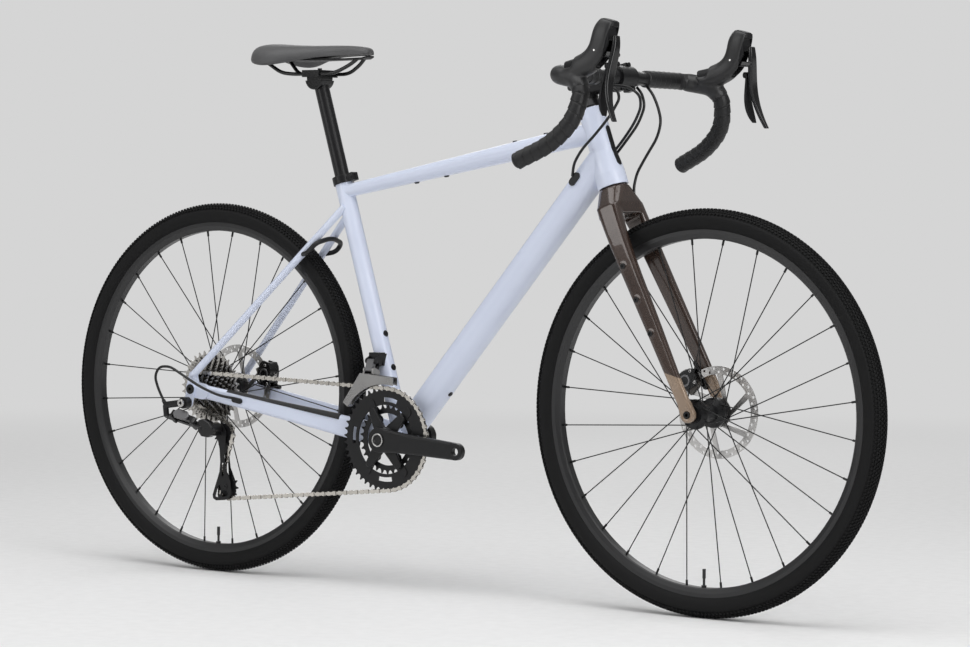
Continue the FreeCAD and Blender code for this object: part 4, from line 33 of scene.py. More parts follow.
# Camera fitted to the photograph
CAMERA_PLACE = Vector((3.5683, -4.7392, 0.7115))
CAMERA_AZIMUTH = 0.6347
CAMERA_PITCH = 0.0374
CAMERA_ROLL = 0.0090
CAMERA_LENS = 121.76
SENSOR_WIDTH = 36.0
CAMERA_FAR = 100.0

# Places in the frame
FRONT_AXLE = Vector((0.550, 0.0, 0.351))
REAR_AXLE = Vector((-0.550, 0.0, 0.351))
BAR_CENTRE = Vector((0.36945, 0.0, 0.92766))
CRADLE_CENTRE = Vector((-0.30803, 0.0, 0.93585))
CRANK_AXLE = Vector((-0.10629, 0.0, 0.276))
ORIGIN = Vector((0.0, 0.0, 0.0))
X_AXIS = Vector((1.0, 0.0, 0.0))
Y_AXIS = Vector((0.0, 1.0, 0.0))
Z_AXIS = Vector((0.0, 0.0, 1.0))
RIGHT = Vector((0.0, -1.0, 0.0))

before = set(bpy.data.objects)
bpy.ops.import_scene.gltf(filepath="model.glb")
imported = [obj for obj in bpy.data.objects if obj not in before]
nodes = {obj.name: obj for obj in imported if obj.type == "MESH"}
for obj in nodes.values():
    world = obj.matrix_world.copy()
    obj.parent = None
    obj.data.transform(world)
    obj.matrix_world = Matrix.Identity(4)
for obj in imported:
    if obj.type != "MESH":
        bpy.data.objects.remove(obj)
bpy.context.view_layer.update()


# Camera and stage

def make_camera():
    data = bpy.data.cameras.new("camera")
    data.lens = CAMERA_LENS
    data.sensor_width = SENSOR_WIDTH
    data.clip_end = CAMERA_FAR
    camera = bpy.data.objects.new("camera", data)
    bpy.context.scene.collection.objects.link(camera)
    reach = math.cos(CAMERA_PITCH)
    sine = math.sin(CAMERA_AZIMUTH)
    cosine = math.cos(CAMERA_AZIMUTH)
    ahead = Vector((-sine * reach, cosine * reach, -math.sin(CAMERA_PITCH)))
    level = Vector((cosine, sine, 0.0))
    above = level.cross(ahead)
    right = level * math.cos(CAMERA_ROLL) + above * math.sin(CAMERA_ROLL)
    up = above * math.cos(CAMERA_ROLL) - level * math.sin(CAMERA_ROLL)
    turn = Matrix((right, up, -ahead)).transposed()
    camera.matrix_world = Matrix.Translation(CAMERA_PLACE) @ turn.to_4x4()
    bpy.context.scene.camera = camera


NOISE_LOW = 0.3
NOISE_HIGH = 0.7


class Nodes:
    """Shorthand for building a node tree."""

    def __init__(self, tree):
        self.tree = tree

    def add(self, kind, inputs=None, **settings):
        node = self.tree.nodes.new(kind)
        for key, value in settings.items():
            setattr(node, key, value)
        for key, value in (inputs or {}).items():
            if isinstance(value, bpy.types.NodeSocket):
                self.tree.links.new(value, node.inputs[key])
            else:
                node.inputs[key].default_value = value
        return node

    def math(self, operation, a, b):
        node = self.add("ShaderNodeMath", {0: a, 1: b}, operation=operation)
        return node.outputs[0]

    def ramp(self, value, low, high, out_low, out_high):
        node = self.add("ShaderNodeMapRange", {"Value": value, "From Min": low, "From Max": high,
                                               "To Min": out_low, "To Max": out_high})
        return node.outputs["Result"]

    def over_noise(self, noise, low, high):
        """Range that a noise runs through: most of its values lie between the two noise levels."""
        return self.ramp(noise, NOISE_LOW, NOISE_HIGH, low, high)

    def mix(self, share, a, b):
        node = self.add("ShaderNodeMix", {0: share, 6: a, 7: b}, data_type="RGBA")
        return node.outputs[2]

    def noise(self, place, scale, detail=2.0, roughness=0.5):
        node = self.add("ShaderNodeTexNoise", {"Vector": place, "Scale": scale, "Detail": detail,
                                               "Roughness": roughness})
        return node.outputs["Fac"]


def new_material(name):
    material = bpy.data.materials.new(name)
    material.use_nodes = True
    material.node_tree.nodes.clear()
    return material, Nodes(material.node_tree)


BACKDROP = (0.665, 0.665, 0.665, 1.0)
FLOOR_COLOUR = (0.82, 0.82, 0.82)
FLOOR_RADIUS = 60.0
FLOOR_SEGMENTS = 96
FLOOR_FADE = (2.2, 5.5)
FLOOR_GRAIN = 40.0
FLOOR_SPECKLE = (0.98, 1.02)


def seen_directly(n):
    """One for rays from the camera, from a mirror or through glass, and zero for light on the object."""
    path = n.add("ShaderNodeLightPath")
    direct = n.math("MAXIMUM", path.outputs["Is Camera Ray"], path.outputs["Is Glossy Ray"])
    return n.math("MAXIMUM", direct, path.outputs["Is Transmission Ray"])


def make_stage():
    mesh = bpy.data.meshes.new("floor")
    shape = bmesh.new()
    bmesh.ops.create_circle(shape, cap_ends=True, radius=FLOOR_RADIUS, segments=FLOOR_SEGMENTS)
    shape.to_mesh(mesh)
    shape.free()
    floor = bpy.data.objects.new("floor", mesh)
    bpy.context.scene.collection.objects.link(floor)
    material, n = new_material("studio_floor")
    place = n.add("ShaderNodeTexCoord").outputs["Object"]
    distance = n.add("ShaderNodeVectorMath", {0: place}, operation="LENGTH").outputs["Value"]
    near_edge, far_edge = FLOOR_FADE
    far = n.add("ShaderNodeMapRange", {"Value": distance, "From Min": near_edge, "From Max": far_edge},
                interpolation_type="SMOOTHSTEP").outputs["Result"]
    share = n.math("MULTIPLY", far, seen_directly(n))
    speckle = n.over_noise(n.noise(place, FLOOR_GRAIN), *FLOOR_SPECKLE)
    colour = n.add("ShaderNodeVectorMath", {0: FLOOR_COLOUR, "Scale": speckle}, operation="SCALE")
    paper = n.add("ShaderNodeBsdfDiffuse", {"Color": colour.outputs["Vector"]})
    glow = n.add("ShaderNodeEmission", {"Color": BACKDROP})
    both = n.add("ShaderNodeMixShader", {0: share, 1: paper.outputs[0], 2: glow.outputs[0]})
    n.add("ShaderNodeOutputMaterial", {"Surface": both.outputs[0]})
    mesh.materials.append(material)


SKY_LOW = 0.14
SKY_HIGH = 0.54

# Lamps: name, place, target, size in metres, power in watts
LAMPS = (
    ("overhead", (0.2, -0.9, 3.3), (0.0, 0.0, 0.5), (4.2, 2.6), 62.0),
    ("front_fill", (4.2, -1.0, 2.0), (0.0, 0.0, 0.6), (2.2, 2.2), 64.0),
    ("side_fill", (-2.2, -4.6, 1.9), (0.0, 0.0, 0.5), (2.6, 1.8), 36.0),
    ("back_light", (-2.0, 3.8, 2.4), (0.0, 0.0, 0.6), (3.0, 1.6), 30.0),
)


def make_light():
    world = bpy.data.worlds.new("studio")
    world.use_nodes = True
    n = Nodes(world.node_tree)
    world.node_tree.nodes.clear()
    direction = n.add("ShaderNodeTexCoord").outputs["Generated"]
    height = n.add("ShaderNodeSeparateXYZ", {0: direction}).outputs["Z"]
    sky = n.ramp(height, 0.0, 1.0, SKY_LOW, SKY_HIGH)
    ambient = n.add("ShaderNodeBackground", {"Color": (1.0, 1.0, 1.0, 1.0), "Strength": sky})
    shown = n.add("ShaderNodeBackground", {"Color": BACKDROP, "Strength": 1.0})
    camera_ray = n.add("ShaderNodeLightPath").outputs["Is Camera Ray"]
    both = n.add("ShaderNodeMixShader", {0: camera_ray, 1: ambient.outputs[0], 2: shown.outputs[0]})
    n.add("ShaderNodeOutputWorld", {"Surface": both.outputs[0]})
    bpy.context.scene.world = world
    for name, place, target, size, power in LAMPS:
        data = bpy.data.lights.new(name, "AREA")
        data.shape = "RECTANGLE"
        data.size, data.size_y = size
        data.energy = power
        lamp = bpy.data.objects.new(name, data)
        lamp.location = place
        lamp.rotation_mode = "QUATERNION"
        lamp.rotation_quaternion = (Vector(target) - Vector(place)).to_track_quat("-Z", "Y")
        bpy.context.scene.collection.objects.link(lamp)
    bpy.context.scene.view_settings.view_transform = "Standard"


# Materials

def finish_material(n, colour, roughness, normal=None, metallic=0.0, coat=0.0, coat_rough=0.1, sheen=0.0,
                    specular=0.5):
    inputs = {"Base Color": colour, "Roughness": roughness, "Metallic": metallic, "Coat Weight": coat,
              "Coat Roughness": coat_rough, "Sheen Weight": sheen, "Specular IOR Level": specular}
    if normal is not None:
        inputs["Normal"] = normal
    shader = n.add("ShaderNodeBsdfPrincipled", inputs)
    n.add("ShaderNodeOutputMaterial", {"Surface": shader.outputs[0]})


# Colour of the painted shade in crevices, and the occlusion values over which it fades in
CREVICE_SHADE_COLOUR = (0.012, 0.011, 0.010, 1.0)
CREVICE_SHADE_RAMP = (0.3, 0.95)
CREVICE_SAMPLES = 8
CLOUD_SCALE = 14.0
CLOUD_SHARE = 0.6
GRAIN_SHARE = 0.4
GRAIN_STRENGTH = 0.6
SMOOTHEST = 0.88
ROUGHEST = 1.12


def grained(name, colour, roughness, grain_scale, grain_height, spread=0.12, metallic=0.0, specular=0.5,
            crevice=0.0):
    """Material with clouds in its colour and roughness, a fine raised grain and painted shade in its
    crevices.
    """
    material, n = new_material(name)
    place = n.add("ShaderNodeTexCoord").outputs["Object"]
    cloud = n.noise(place, CLOUD_SCALE, 4.0)
    grain = n.noise(place, grain_scale, 3.0, 0.6)
    mixed = n.math("ADD", n.math("MULTIPLY", cloud, CLOUD_SHARE), n.math("MULTIPLY", grain, GRAIN_SHARE))
    share = n.over_noise(mixed, 0.0, 1.0)
    dark = [c * (1 - spread) for c in colour] + [1.0]
    light = [min(1.0, c * (1 + spread)) for c in colour] + [1.0]
    shade = n.mix(share, dark, light)
    # Painted shade: where ambient occlusion finds nearby surfaces, in gaps and recesses, the colour is
    # darkened toward near-black.
    if crevice:
        near = n.add("ShaderNodeAmbientOcclusion", {"Distance": crevice * MM},
                     samples=CREVICE_SAMPLES)
        shade = n.mix(n.ramp(near.outputs["AO"], *CREVICE_SHADE_RAMP, 0.0, 1.0), CREVICE_SHADE_COLOUR, shade)
    rough = n.over_noise(mixed, roughness * SMOOTHEST, min(1.0, roughness * ROUGHEST))
    bump = n.add("ShaderNodeBump", {"Height": grain, "Strength": GRAIN_STRENGTH,
                                    "Distance": grain_height * MM})
    finish_material(n, shade, rough, bump.outputs[0], metallic, specular=specular)
    return material


# Darkest and lightest shade of each paint
LAVENDER = ((0.66, 0.71, 0.86, 1.0), (0.70, 0.755, 0.90, 1.0))
BRONZE = ((0.040, 0.023, 0.017, 1.0), (0.056, 0.034, 0.025, 1.0))
TAN = ((0.26, 0.185, 0.13, 1.0), (0.34, 0.25, 0.18, 1.0))
SADDLE_BLACK = ((0.040, 0.040, 0.042, 1.0), (0.056, 0.056, 0.058, 1.0))
MOULDED_BLACK = ((0.007, 0.007, 0.008, 1.0), (0.010, 0.010, 0.011, 1.0))
HANGER_LAVENDER = (0.68, 0.73, 0.88, 1.0)

# Scales of the noises in the paints, and half the width of an edge between two of them
FRAME_CLOUDS = 6.0
FORK_CLOUDS = 9.0
SADDLE_CLOUDS = 12.0
PEEL_SCALE = 60.0
PEBBLE_SCALE = 900.0
FITTINGS_GRAIN = 700.0
PAINT_EDGE = 0.2 * MM


def frame_paint():
    """Pale lavender satin paint with soft clouds in its shade and its gloss."""
    material, n = new_material("lavender_paint")
    place = n.add("ShaderNodeTexCoord").outputs["Object"]
    cloud = n.noise(place, FRAME_CLOUDS, 3.0)
    peel = n.noise(place, PEEL_SCALE, 1.0)
    shade = n.mix(n.over_noise(cloud, 0.0, 1.0), *LAVENDER)
    rough = n.over_noise(peel, 0.32, 0.38)
    finish_material(n, shade, rough, coat=0.4, coat_rough=0.14)
    return material


TIP_TOP = Vector((0.534, 0.0, 0.413))
TIP_ACROSS = Vector((0.26, 0.0, 0.966))


def fork_paint():
    """Glossy bronze-brown paint with tan tips."""
    material, n = new_material("bronze_paint")
    place = n.add("ShaderNodeTexCoord").outputs["Object"]
    cloud = n.noise(place, FORK_CLOUDS, 3.0)
    share = n.over_noise(cloud, 0.0, 1.0)
    brown = n.mix(share, *BRONZE)
    tan = n.mix(share, *TAN)
    along = n.add("ShaderNodeVectorMath", {0: place, 1: TIP_ACROSS}, operation="DOT_PRODUCT")
    height = along.outputs["Value"]
    edge = TIP_TOP.dot(TIP_ACROSS)
    is_tip = n.ramp(height, edge - PAINT_EDGE, edge + PAINT_EDGE, 1.0, 0.0)
    shade = n.mix(is_tip, brown, tan)
    rough = n.over_noise(n.noise(place, PEEL_SCALE, 1.0), 0.22, 0.28)
    finish_material(n, shade, rough, metallic=0.3, coat=0.9, coat_rough=0.05)
    return material


def leather():
    """Fine pebbled saddle skin."""
    material, n = new_material("saddle_skin")
    place = n.add("ShaderNodeTexCoord").outputs["Object"]
    cells = n.add("ShaderNodeTexVoronoi", {"Vector": place, "Scale": PEBBLE_SCALE}, feature="SMOOTH_F1")
    pebble = cells.outputs["Distance"]
    cloud = n.noise(place, SADDLE_CLOUDS, 4.0)
    shade = n.mix(n.over_noise(cloud, 0.0, 1.0), *SADDLE_BLACK)
    rough = n.ramp(pebble, 0.0, 0.6, 0.38, 0.56)
    bump = n.add("ShaderNodeBump", {"Height": pebble, "Strength": 0.35, "Distance": 0.25 * MM})
    finish_material(n, shade, rough, bump.outputs[0], sheen=0.12, specular=0.7)
    return material


HANGER_EDGE = -0.537


def fittings():
    """Black moulded fittings, with the derailleur hanger behind the rear axle in the frame's paint."""
    material, n = new_material("moulded_fittings")
    place = n.add("ShaderNodeTexCoord").outputs["Object"]
    along = n.add("ShaderNodeSeparateXYZ", {0: place}).outputs["X"]
    is_hanger = n.ramp(along, HANGER_EDGE - PAINT_EDGE, HANGER_EDGE + PAINT_EDGE, 1.0, 0.0)
    cloud = n.noise(place, CLOUD_SCALE, 3.0)
    black = n.mix(n.over_noise(cloud, 0.0, 1.0), *MOULDED_BLACK)
    shade = n.mix(is_hanger, black, HANGER_LAVENDER)
    rough = n.over_noise(cloud, 0.38, 0.46)
    grain = n.noise(place, FITTINGS_GRAIN, 2.0)
    bump = n.add("ShaderNodeBump", {"Height": grain, "Strength": 0.4, "Distance": 0.03 * MM})
    finish_material(n, shade, rough, bump.outputs[0], specular=0.4)
    return material


PAINT = {}


def make_materials():
    """Fills the paint table. A grained one gives colour, roughness, scale of the grain, its height in mm."""
    PAINT.update({
        "frame": frame_paint(),
        "fork": fork_paint(),
        "black": grained("black_anodised", (0.007, 0.007, 0.0078), 0.34, 1500.0, 0.03, specular=0.36),
        "gloss_black": grained("gloss_black", (0.005, 0.005, 0.0055), 0.18, 600.0, 0.02, specular=0.5),
        # A crevice reach in millimetres paints shade into the gaps and recesses of these metal parts.
        "grey": grained("grey_anodised", (0.19, 0.19, 0.195), 0.3, 1200.0, 0.04, metallic=0.8, crevice=4.0),
        "plastic": grained("moulded_plastic", (0.008, 0.008, 0.009), 0.48, 1100.0, 0.08, specular=0.25),
        "silver": grained("brushed_alloy", (0.60, 0.59, 0.58), 0.26, 900.0, 0.03, metallic=1.0, crevice=4.0),
        "chain": grained("chain_plate", (0.66, 0.63, 0.58), 0.22, 900.0, 0.03, spread=0.2, metallic=1.0,
                         crevice=7.0),
        "sprocket": grained("sprocket_steel", (0.60, 0.58, 0.55), 0.24, 900.0, 0.03, spread=0.2, metallic=1.0,
                            crevice=9.0),
        "mech_silver": grained("mech_alloy", (0.36, 0.355, 0.35), 0.28, 900.0, 0.03, metallic=1.0,
                               crevice=6.0),
        "fittings": fittings(),
        "rotor": grained("ground_steel", (0.62, 0.61, 0.60), 0.3, 700.0, 0.03, metallic=1.0),
        "spoke": grained("black_spoke", (0.006, 0.006, 0.0065), 0.3, 900.0, 0.01, specular=0.35),
        "rim": grained("satin_rim", (0.017, 0.017, 0.018), 0.34, 800.0, 0.03, specular=0.5),
        "tyre": grained("tyre_rubber", (0.007, 0.007, 0.0073), 0.66, 700.0, 0.12, spread=0.25, specular=0.2),
        "tape": grained("bar_tape", (0.010, 0.010, 0.0108), 0.42, 500.0, 0.03, spread=0.22, specular=0.42),
        "hood": grained("hood_rubber", (0.016, 0.016, 0.0168), 0.4, 500.0, 0.03, spread=0.15, specular=0.55),
        "hose": grained("hose_jacket", (0.006, 0.006, 0.0065), 0.3, 700.0, 0.02, specular=0.4),
        "pad": grained("pad_backing", (0.10, 0.09, 0.08), 0.6, 700.0, 0.08),
        "leather": leather(),
    })


NODE_PAINT = {
    "frame": ("head_tube", "top_tube", "down_tube", "seat_tube", "bottom_bracket_shell", "chainstays",
              "seatstays", "dropouts"),
    "fork": ("fork",),
    "black": ("seat_clamp", "rear_axle", "front_axle", "rear_brake_caliper", "front_brake_caliper", "stem",
              "handlebar", "front_hub", "rear_hub", "crank_arms", "chainrings", "seatpost",
              "rear_mech_b_knuckle", "rear_mech_p_knuckle", "rear_mech_cage", "frame_bearings",
              "rear_mech_inner_link", "front_mech_body", "front_mech_inner_link"),
    "gloss_black": ("rear_mech_outer_link", "brake_lever_right", "brake_lever_left", "saddle_rails"),
    "plastic": ("shifter_bodies", "shift_paddle_right", "shift_paddle_left", "guide_pulley",
                "tension_pulley", "saddle_base"),
    "grey": ("front_mech_outer_link",),
    "mech_silver": ("front_mech_cage",),
    "fittings": ("frame_fittings",),
    "chain": ("chain",),
    "sprocket": ("cassette",),
    "rotor": ("front_rotor", "rear_rotor"),
    "spoke": ("front_spokes", "rear_spokes"),
    "rim": ("front_rim", "rear_rim"),
    "tyre": ("front_tyre", "rear_tyre"),
    "tape": ("bar_tape",),
    "hood": ("lever_hoods",),
    "hose": ("control_cables", "front_brake_hose"),
    "pad": ("front_pad_inner", "front_pad_outer", "rear_pad_inner", "rear_pad_outer"),
    "leather": ("saddle_cover",),
}


def paint_nodes():
    for paint, names in NODE_PAINT.items():
        for name in names:
            materials = nodes[name].data.materials
            materials.clear()
            materials.append(PAINT[paint])


# Mesh helpers

def make_piece(name, points, faces, paint, body):
    mesh = bpy.data.meshes.new(name)
    mesh.from_pydata([tuple(p) for p in points], [], faces)
    mesh.materials.append(PAINT[paint])
    mesh.polygons.foreach_set("use_smooth", [True] * len(mesh.polygons))
    mesh.update()
    piece = bpy.data.objects.new(name, mesh)
    bpy.context.scene.collection.objects.link(piece)
    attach(piece, body)
    return piece


def ring_faces(rings, sides, closed=False):
    """Quads between rows of points, each row running once round."""
    faces = []
    for row in range(rings if closed else rings - 1):
        following = (row + 1) % rings
        for k in range(sides):
            other = (k + 1) % sides
            here = row * sides
            there = following * sides
            faces.append((here + k, here + other, there + other, there + k))
    return faces


# Turned and cut details

ROUND_SIDES = 40
SHARP_ANGLE = 35.0
BEVEL_SEGMENTS = 3
SEAT_DEPTH = 1.0
SOCKET_DEPTH = 1.6
CENTRE = 0.01


def turned(profile, place, axis, sides=ROUND_SIDES):
    """Round piece from radius and height pairs in millimetres, spun about an axis."""
    side = axis.orthogonal().normalized()
    other = axis.cross(side)
    points = []
    for radius, height in profile:
        for k in range(sides):
            angle = 2 * math.pi * k / sides
            outward = side * math.cos(angle) + other * math.sin(angle)
            points.append(place + (axis * height + outward * radius) * MM)
    return points, ring_faces(len(profile), sides, closed=True)


def prism(loops, place, across, up, low, high):
    """Plate between two levels, from an outline and its holes in millimetres on two axes."""
    normal = across.cross(up)
    flat = [[Vector((u, v, 0.0)) for u, v in loop] for loop in loops]
    corners = [corner for loop in flat for corner in loop]
    count = len(corners)
    points = []
    for level in (low, high):
        points += [place + (across * c.x + up * c.y + normal * level) * MM for c in corners]
    faces = []
    for a, b, c in tessellate_polygon(flat):
        faces += [(c, b, a), (a + count, b + count, c + count)]
    first = 0
    for loop in flat:
        size = len(loop)
        for k in range(size):
            m = (k + 1) % size
            faces.append((first + k, first + m, first + m + count, first + k + count))
        first += size
    return points, faces


def detail(name, parts, paint, body, slot, bevel=0.0, stands_for=None):
    """One piece from several turned or cut forms, with its edges rounded when a bevel is given."""
    points = []
    faces = []
    for more_points, more_faces in parts:
        faces += [tuple(len(points) + k for k in face) for face in more_faces]
        points += more_points
    piece = make_piece(name, points, faces, paint, body)
    shape = bmesh.new()
    shape.from_mesh(piece.data)
    bmesh.ops.recalc_face_normals(shape, faces=shape.faces)
    shape.to_mesh(piece.data)
    shape.free()
    piece.data.set_sharp_from_angle(angle=math.radians(SHARP_ANGLE))
    if bevel:
        rounding = piece.modifiers.new("rounding", "BEVEL")
        rounding.width = bevel * MM
        rounding.segments = BEVEL_SEGMENTS
        rounding.limit_method = "ANGLE"
        rounding.harden_normals = True
    if stands_for:
        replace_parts(piece, stands_for)


def disc_profile(radius, height, chamfer=0.5, hole=0.0):
    """Outline of a round cap that stands on its seat, with a socket when it has a hole."""
    outline = [(radius, -SEAT_DEPTH), (radius, height - chamfer), (radius - chamfer, height)]
    if hole:
        outline += [(hole, height), (hole, height - SOCKET_DEPTH), (CENTRE, height - SOCKET_DEPTH)]
    else:
        outline.append((CENTRE, height))
    return outline + [(CENTRE, -SEAT_DEPTH)]


# Fork bosses and outlines of radius and height in millimetres, single places in metres
FORK_BOSSES = ((412.6, 56.0, 601.1), (442.7, 58.3, 543.9), (473.1, 60.3, 486.9))
BOSS_BOLT = disc_profile(5.0, 0.9, hole=2.0)
CRANK_FACE = CRANK_AXLE + RIGHT * (75.0 * MM)
CRANK_RING = ((12.2, -1.0), (12.2, 0.9), (11.7, 1.3), (10.4, 1.3), (10.0, 0.9), (10.0, -1.0))
CRANK_CAP = ((9.8, -1.0), (9.8, 0.8), (7.6, 0.8), (6.8, -0.6), (CENTRE, -0.6), (CENTRE, -1.0))
CRANK_SIDES = 64
HANGER_BOLT = Vector((-0.556, -0.1044, 0.325))
HANGER_RING = ((7.4, -1.0), (7.4, 0.8), (6.9, 1.2), (3.6, 1.2), (3.2, 0.8), (3.2, -1.0))
REAR_CAP = Vector((-0.550, -0.0835, 0.351))
REAR_CAP_RING = ((9.2, -0.6), (9.2, 1.6), (8.0, 2.6), (3.6, 2.6), (3.2, 2.2), (3.2, -0.6))


def bolts_and_caps():
    bosses = []
    for x, y, z in FORK_BOSSES:
        for side in (-1, 1):
            bosses.append(turned(BOSS_BOLT, Vector((x, side * y, z)) * MM, Y_AXIS * side))
    detail("fork_boss_bolts", bosses, "black", "steering", "black_alloy")
    ring = turned(CRANK_RING, CRANK_FACE, RIGHT, CRANK_SIDES)
    detail("crank_ring", [ring], "silver", "crank", "silver_alloy")
    cap = turned(CRANK_CAP, CRANK_FACE, RIGHT, CRANK_SIDES)
    detail("crank_cap", [cap], "gloss_black", "crank", "black_alloy")
    ring = turned(HANGER_RING, HANGER_BOLT, RIGHT)
    detail("hanger_bolt_ring", [ring], "silver", "rear_mech_b", "silver_alloy")
    ring = turned(REAR_CAP_RING, REAR_CAP, RIGHT)
    detail("rear_axle_cap", [ring], "black", "frame", "black_alloy")


# Rear derailleur: cage and knuckle outlines are x and z in millimetres, the link's lies on its own axes

CAGE_OUTLINE = ((-481, 277), (-478, 268), (-480, 250), (-482.5, 226), (-479, 204), (-467, 179),
                (-464.5, 160), (-469, 148), (-480, 143.5), (-502, 141.5), (-509, 145), (-510.5, 152),
                (-503, 172), (-494, 196), (-492, 215), (-494, 240), (-499, 258), (-507, 268), (-507, 280),
                (-500, 287), (-489, 286))
CAGE_SLOT = ((-488, 187), (-483, 190), (-484.5, 213), (-488.5, 213))
CAGE_LEFT_HOLE = ((-504, 149), (-496, 147.5), (-491.5, 153), (-489.5, 163), (-493.5, 172), (-499, 165))
CAGE_RIGHT_HOLE = ((-487, 149.5), (-475, 151), (-470.5, 157), (-475, 161), (-484, 162.5), (-488, 157))
CAGE_LOOPS = (CAGE_OUTLINE, CAGE_SLOT, CAGE_LEFT_HOLE, CAGE_RIGHT_HOLE)
CAGE_PLATES = ((61.5, 63.5), (47.5, 49.5))
CAGE_EDGE = 0.5
PULLEY_PLACES = ((-489.0, -62.0, 268.0), (-478.0, -62.0, 169.0))
PULLEY_BOLT = ((4.6, 0.0), (4.6, 2.4), (4.0, 3.0), (1.8, 3.0), (1.8, 1.6), (CENTRE, 1.6), (CENTRE, -14.0),
               (2.5, -14.0), (2.5, 0.0))
CAGE_PIVOT = (-499.0, -62.5, 277.0)
PIVOT_PIN = ((5.0, 0.0), (5.0, 18.0), (CENTRE, 18.0), (CENTRE, 0.0))
LINK_FOOT = Vector((-0.582, -0.095, 0.304))
LINK_AHEAD = Vector((0.978, 0.0, -0.208))
LINK_UP = Vector((0.164, 0.616, 0.771))
LINK_OUTLINE = ((7, -5), (12, -9.5), (34, -9.5), (40, -5), (43, 0), (40, 5), (34, 9.5), (12, 9.5), (7, 5),
                (4, 0))
LINK_LEVELS = (4.2, 8.6)
LINK_EDGE = 1.4
KNUCKLE_OUTLINE = ((-521, 294), (-508, 297), (-494, 291), (-486, 281), (-487, 268), (-497, 262), (-514, 264),
                   (-521.5, 272), (-522.5, 284))
KNUCKLE_LEVELS = (80.0, 95.0)
KNUCKLE_EDGE = 2.6


def rear_derailleur():
    parts = [prism(CAGE_LOOPS, ORIGIN, X_AXIS, Z_AXIS, low, high) for low, high in CAGE_PLATES]
    for place in PULLEY_PLACES:
        parts.append(turned(PULLEY_BOLT, Vector(place) * MM, RIGHT))
    parts.append(turned(PIVOT_PIN, Vector(CAGE_PIVOT) * MM, RIGHT))
    detail("mech_cage_plates", parts, "black", "rear_mech_cage", "black_alloy", CAGE_EDGE, "rear_mech_cage")
    cover = prism([LINK_OUTLINE], LINK_FOOT, LINK_AHEAD, LINK_UP, *LINK_LEVELS)
    detail("mech_link_cover", [cover], "grey", "rear_mech_outer", "black_alloy", LINK_EDGE)
    block = prism([KNUCKLE_OUTLINE], ORIGIN, X_AXIS, Z_AXIS, *KNUCKLE_LEVELS)
    detail("mech_knuckle_cover", [block], "gloss_black", "rear_mech_p", "black_alloy", KNUCKLE_EDGE)


# Brake calipers: place, direction, body and name, then outlines and levels in millimetres

REAR_CALIPER = (Vector((-0.4765, 0.0437, 0.3776)), Vector((0.986, 0.0, -0.167)), "frame", "rear")
FRONT_CALIPER = (Vector((0.4882, 0.0275, 0.4037)), Vector((-0.45, 0.0, 0.893)), "steering", "front")
CALIPER_OUTLINE = ((-13, -22), (13, -22), (16, -16), (16, 4), (13, 16), (7, 24), (-7, 25), (-13, 19),
                   (-16, 8), (-16, -16))
CALIPER_HALVES = ((-6.2, 0.0), (-27.0, -17.8))
BRIDGE_OUTLINE = ((10.5, -15), (15, -15), (15.5, 4), (12.5, 15.5), (7, 23), (2, 22), (9, 8))
BRIDGE_LEVELS = (-26.0, -1.0)
FOOT_OUTLINE = ((-27, -25), (27, -25), (28, -21), (25, -17), (-25, -17), (-28, -21))
FOOT_LEVELS = (-26.0, -17.8)
CALIPER_EDGE = 1.6
FIN_PLACES = (-5.0, -2.5, 0.0, 2.5, 5.0)
FIN_REACH = (12, 19)
FIN_HALF = 0.6
FIN_LEVELS = (-17.0, -7.0)
FIN_EDGE = 0.25
PISTON_RING = ((10.5, -1.0), (10.5, 0.4), (9.9, 0.9), (7.4, 0.9), (7.0, 0.2), (7.0, -1.0))
CALIPER_BOLT = disc_profile(2.8, 1.0, hole=1.4)
CALIPER_BOLT_PLACES = ((-10.5, -17.0), (10.5, -17.0), (0.0, 16.5))
BOLT_SIDES = 24


def caliper(place, along, body, name):
    """Two halves on either side of the disc, a bridge, a foot, cooling fins and bolts."""
    up = Vector((-along.z, 0.0, along.x))
    parts = [prism([CALIPER_OUTLINE], place, along, up, low, high) for low, high in CALIPER_HALVES]
    parts.append(prism([BRIDGE_OUTLINE], place, along, up, *BRIDGE_LEVELS))
    parts.append(prism([FOOT_OUTLINE], place, along, up, *FOOT_LEVELS))
    node = name + "_brake_caliper"
    detail(name + "_caliper_body", parts, "gloss_black", body, "black_alloy", CALIPER_EDGE, node)
    root, tip = FIN_REACH
    fins = []
    for middle in FIN_PLACES:
        low = middle - FIN_HALF
        high = middle + FIN_HALF
        outline = ((root, low), (tip, low), (tip, high), (root, high))
        fins.append(prism([outline], place, along, up, *FIN_LEVELS))
    detail(name + "_caliper_fins", fins, "silver", body, "silver_alloy", FIN_EDGE)
    detail(name + "_piston_cap", [turned(PISTON_RING, place, RIGHT)], "grey", body, "black_alloy")
    bolts = []
    for reach, rise in CALIPER_BOLT_PLACES:
        seat = place + (along * reach + up * rise) * MM
        bolts.append(turned(CALIPER_BOLT, seat, RIGHT, BOLT_SIDES))
    detail(name + "_caliper_bolts", bolts, "silver", body, "silver_alloy")


# Lever pins

PIN_OFFSET = Vector((98.0, 0.0, 36.0)) * MM
HOOD_MIDDLE = 212.0 * MM
RAY_START = 60.0 * MM
LEVER_PIN = disc_profile(1.9, 0.5, 0.3)


def surface_tree(names):
    """Search tree over the faces of several nodes."""
    points = []
    faces = []
    for name in names:
        mesh = nodes[name].data
        start = len(points)
        points += [vertex.co.copy() for vertex in mesh.vertices]
        faces += [tuple(start + k for k in polygon.vertices) for polygon in mesh.polygons]
    return BVHTree.FromPolygons(points, faces)


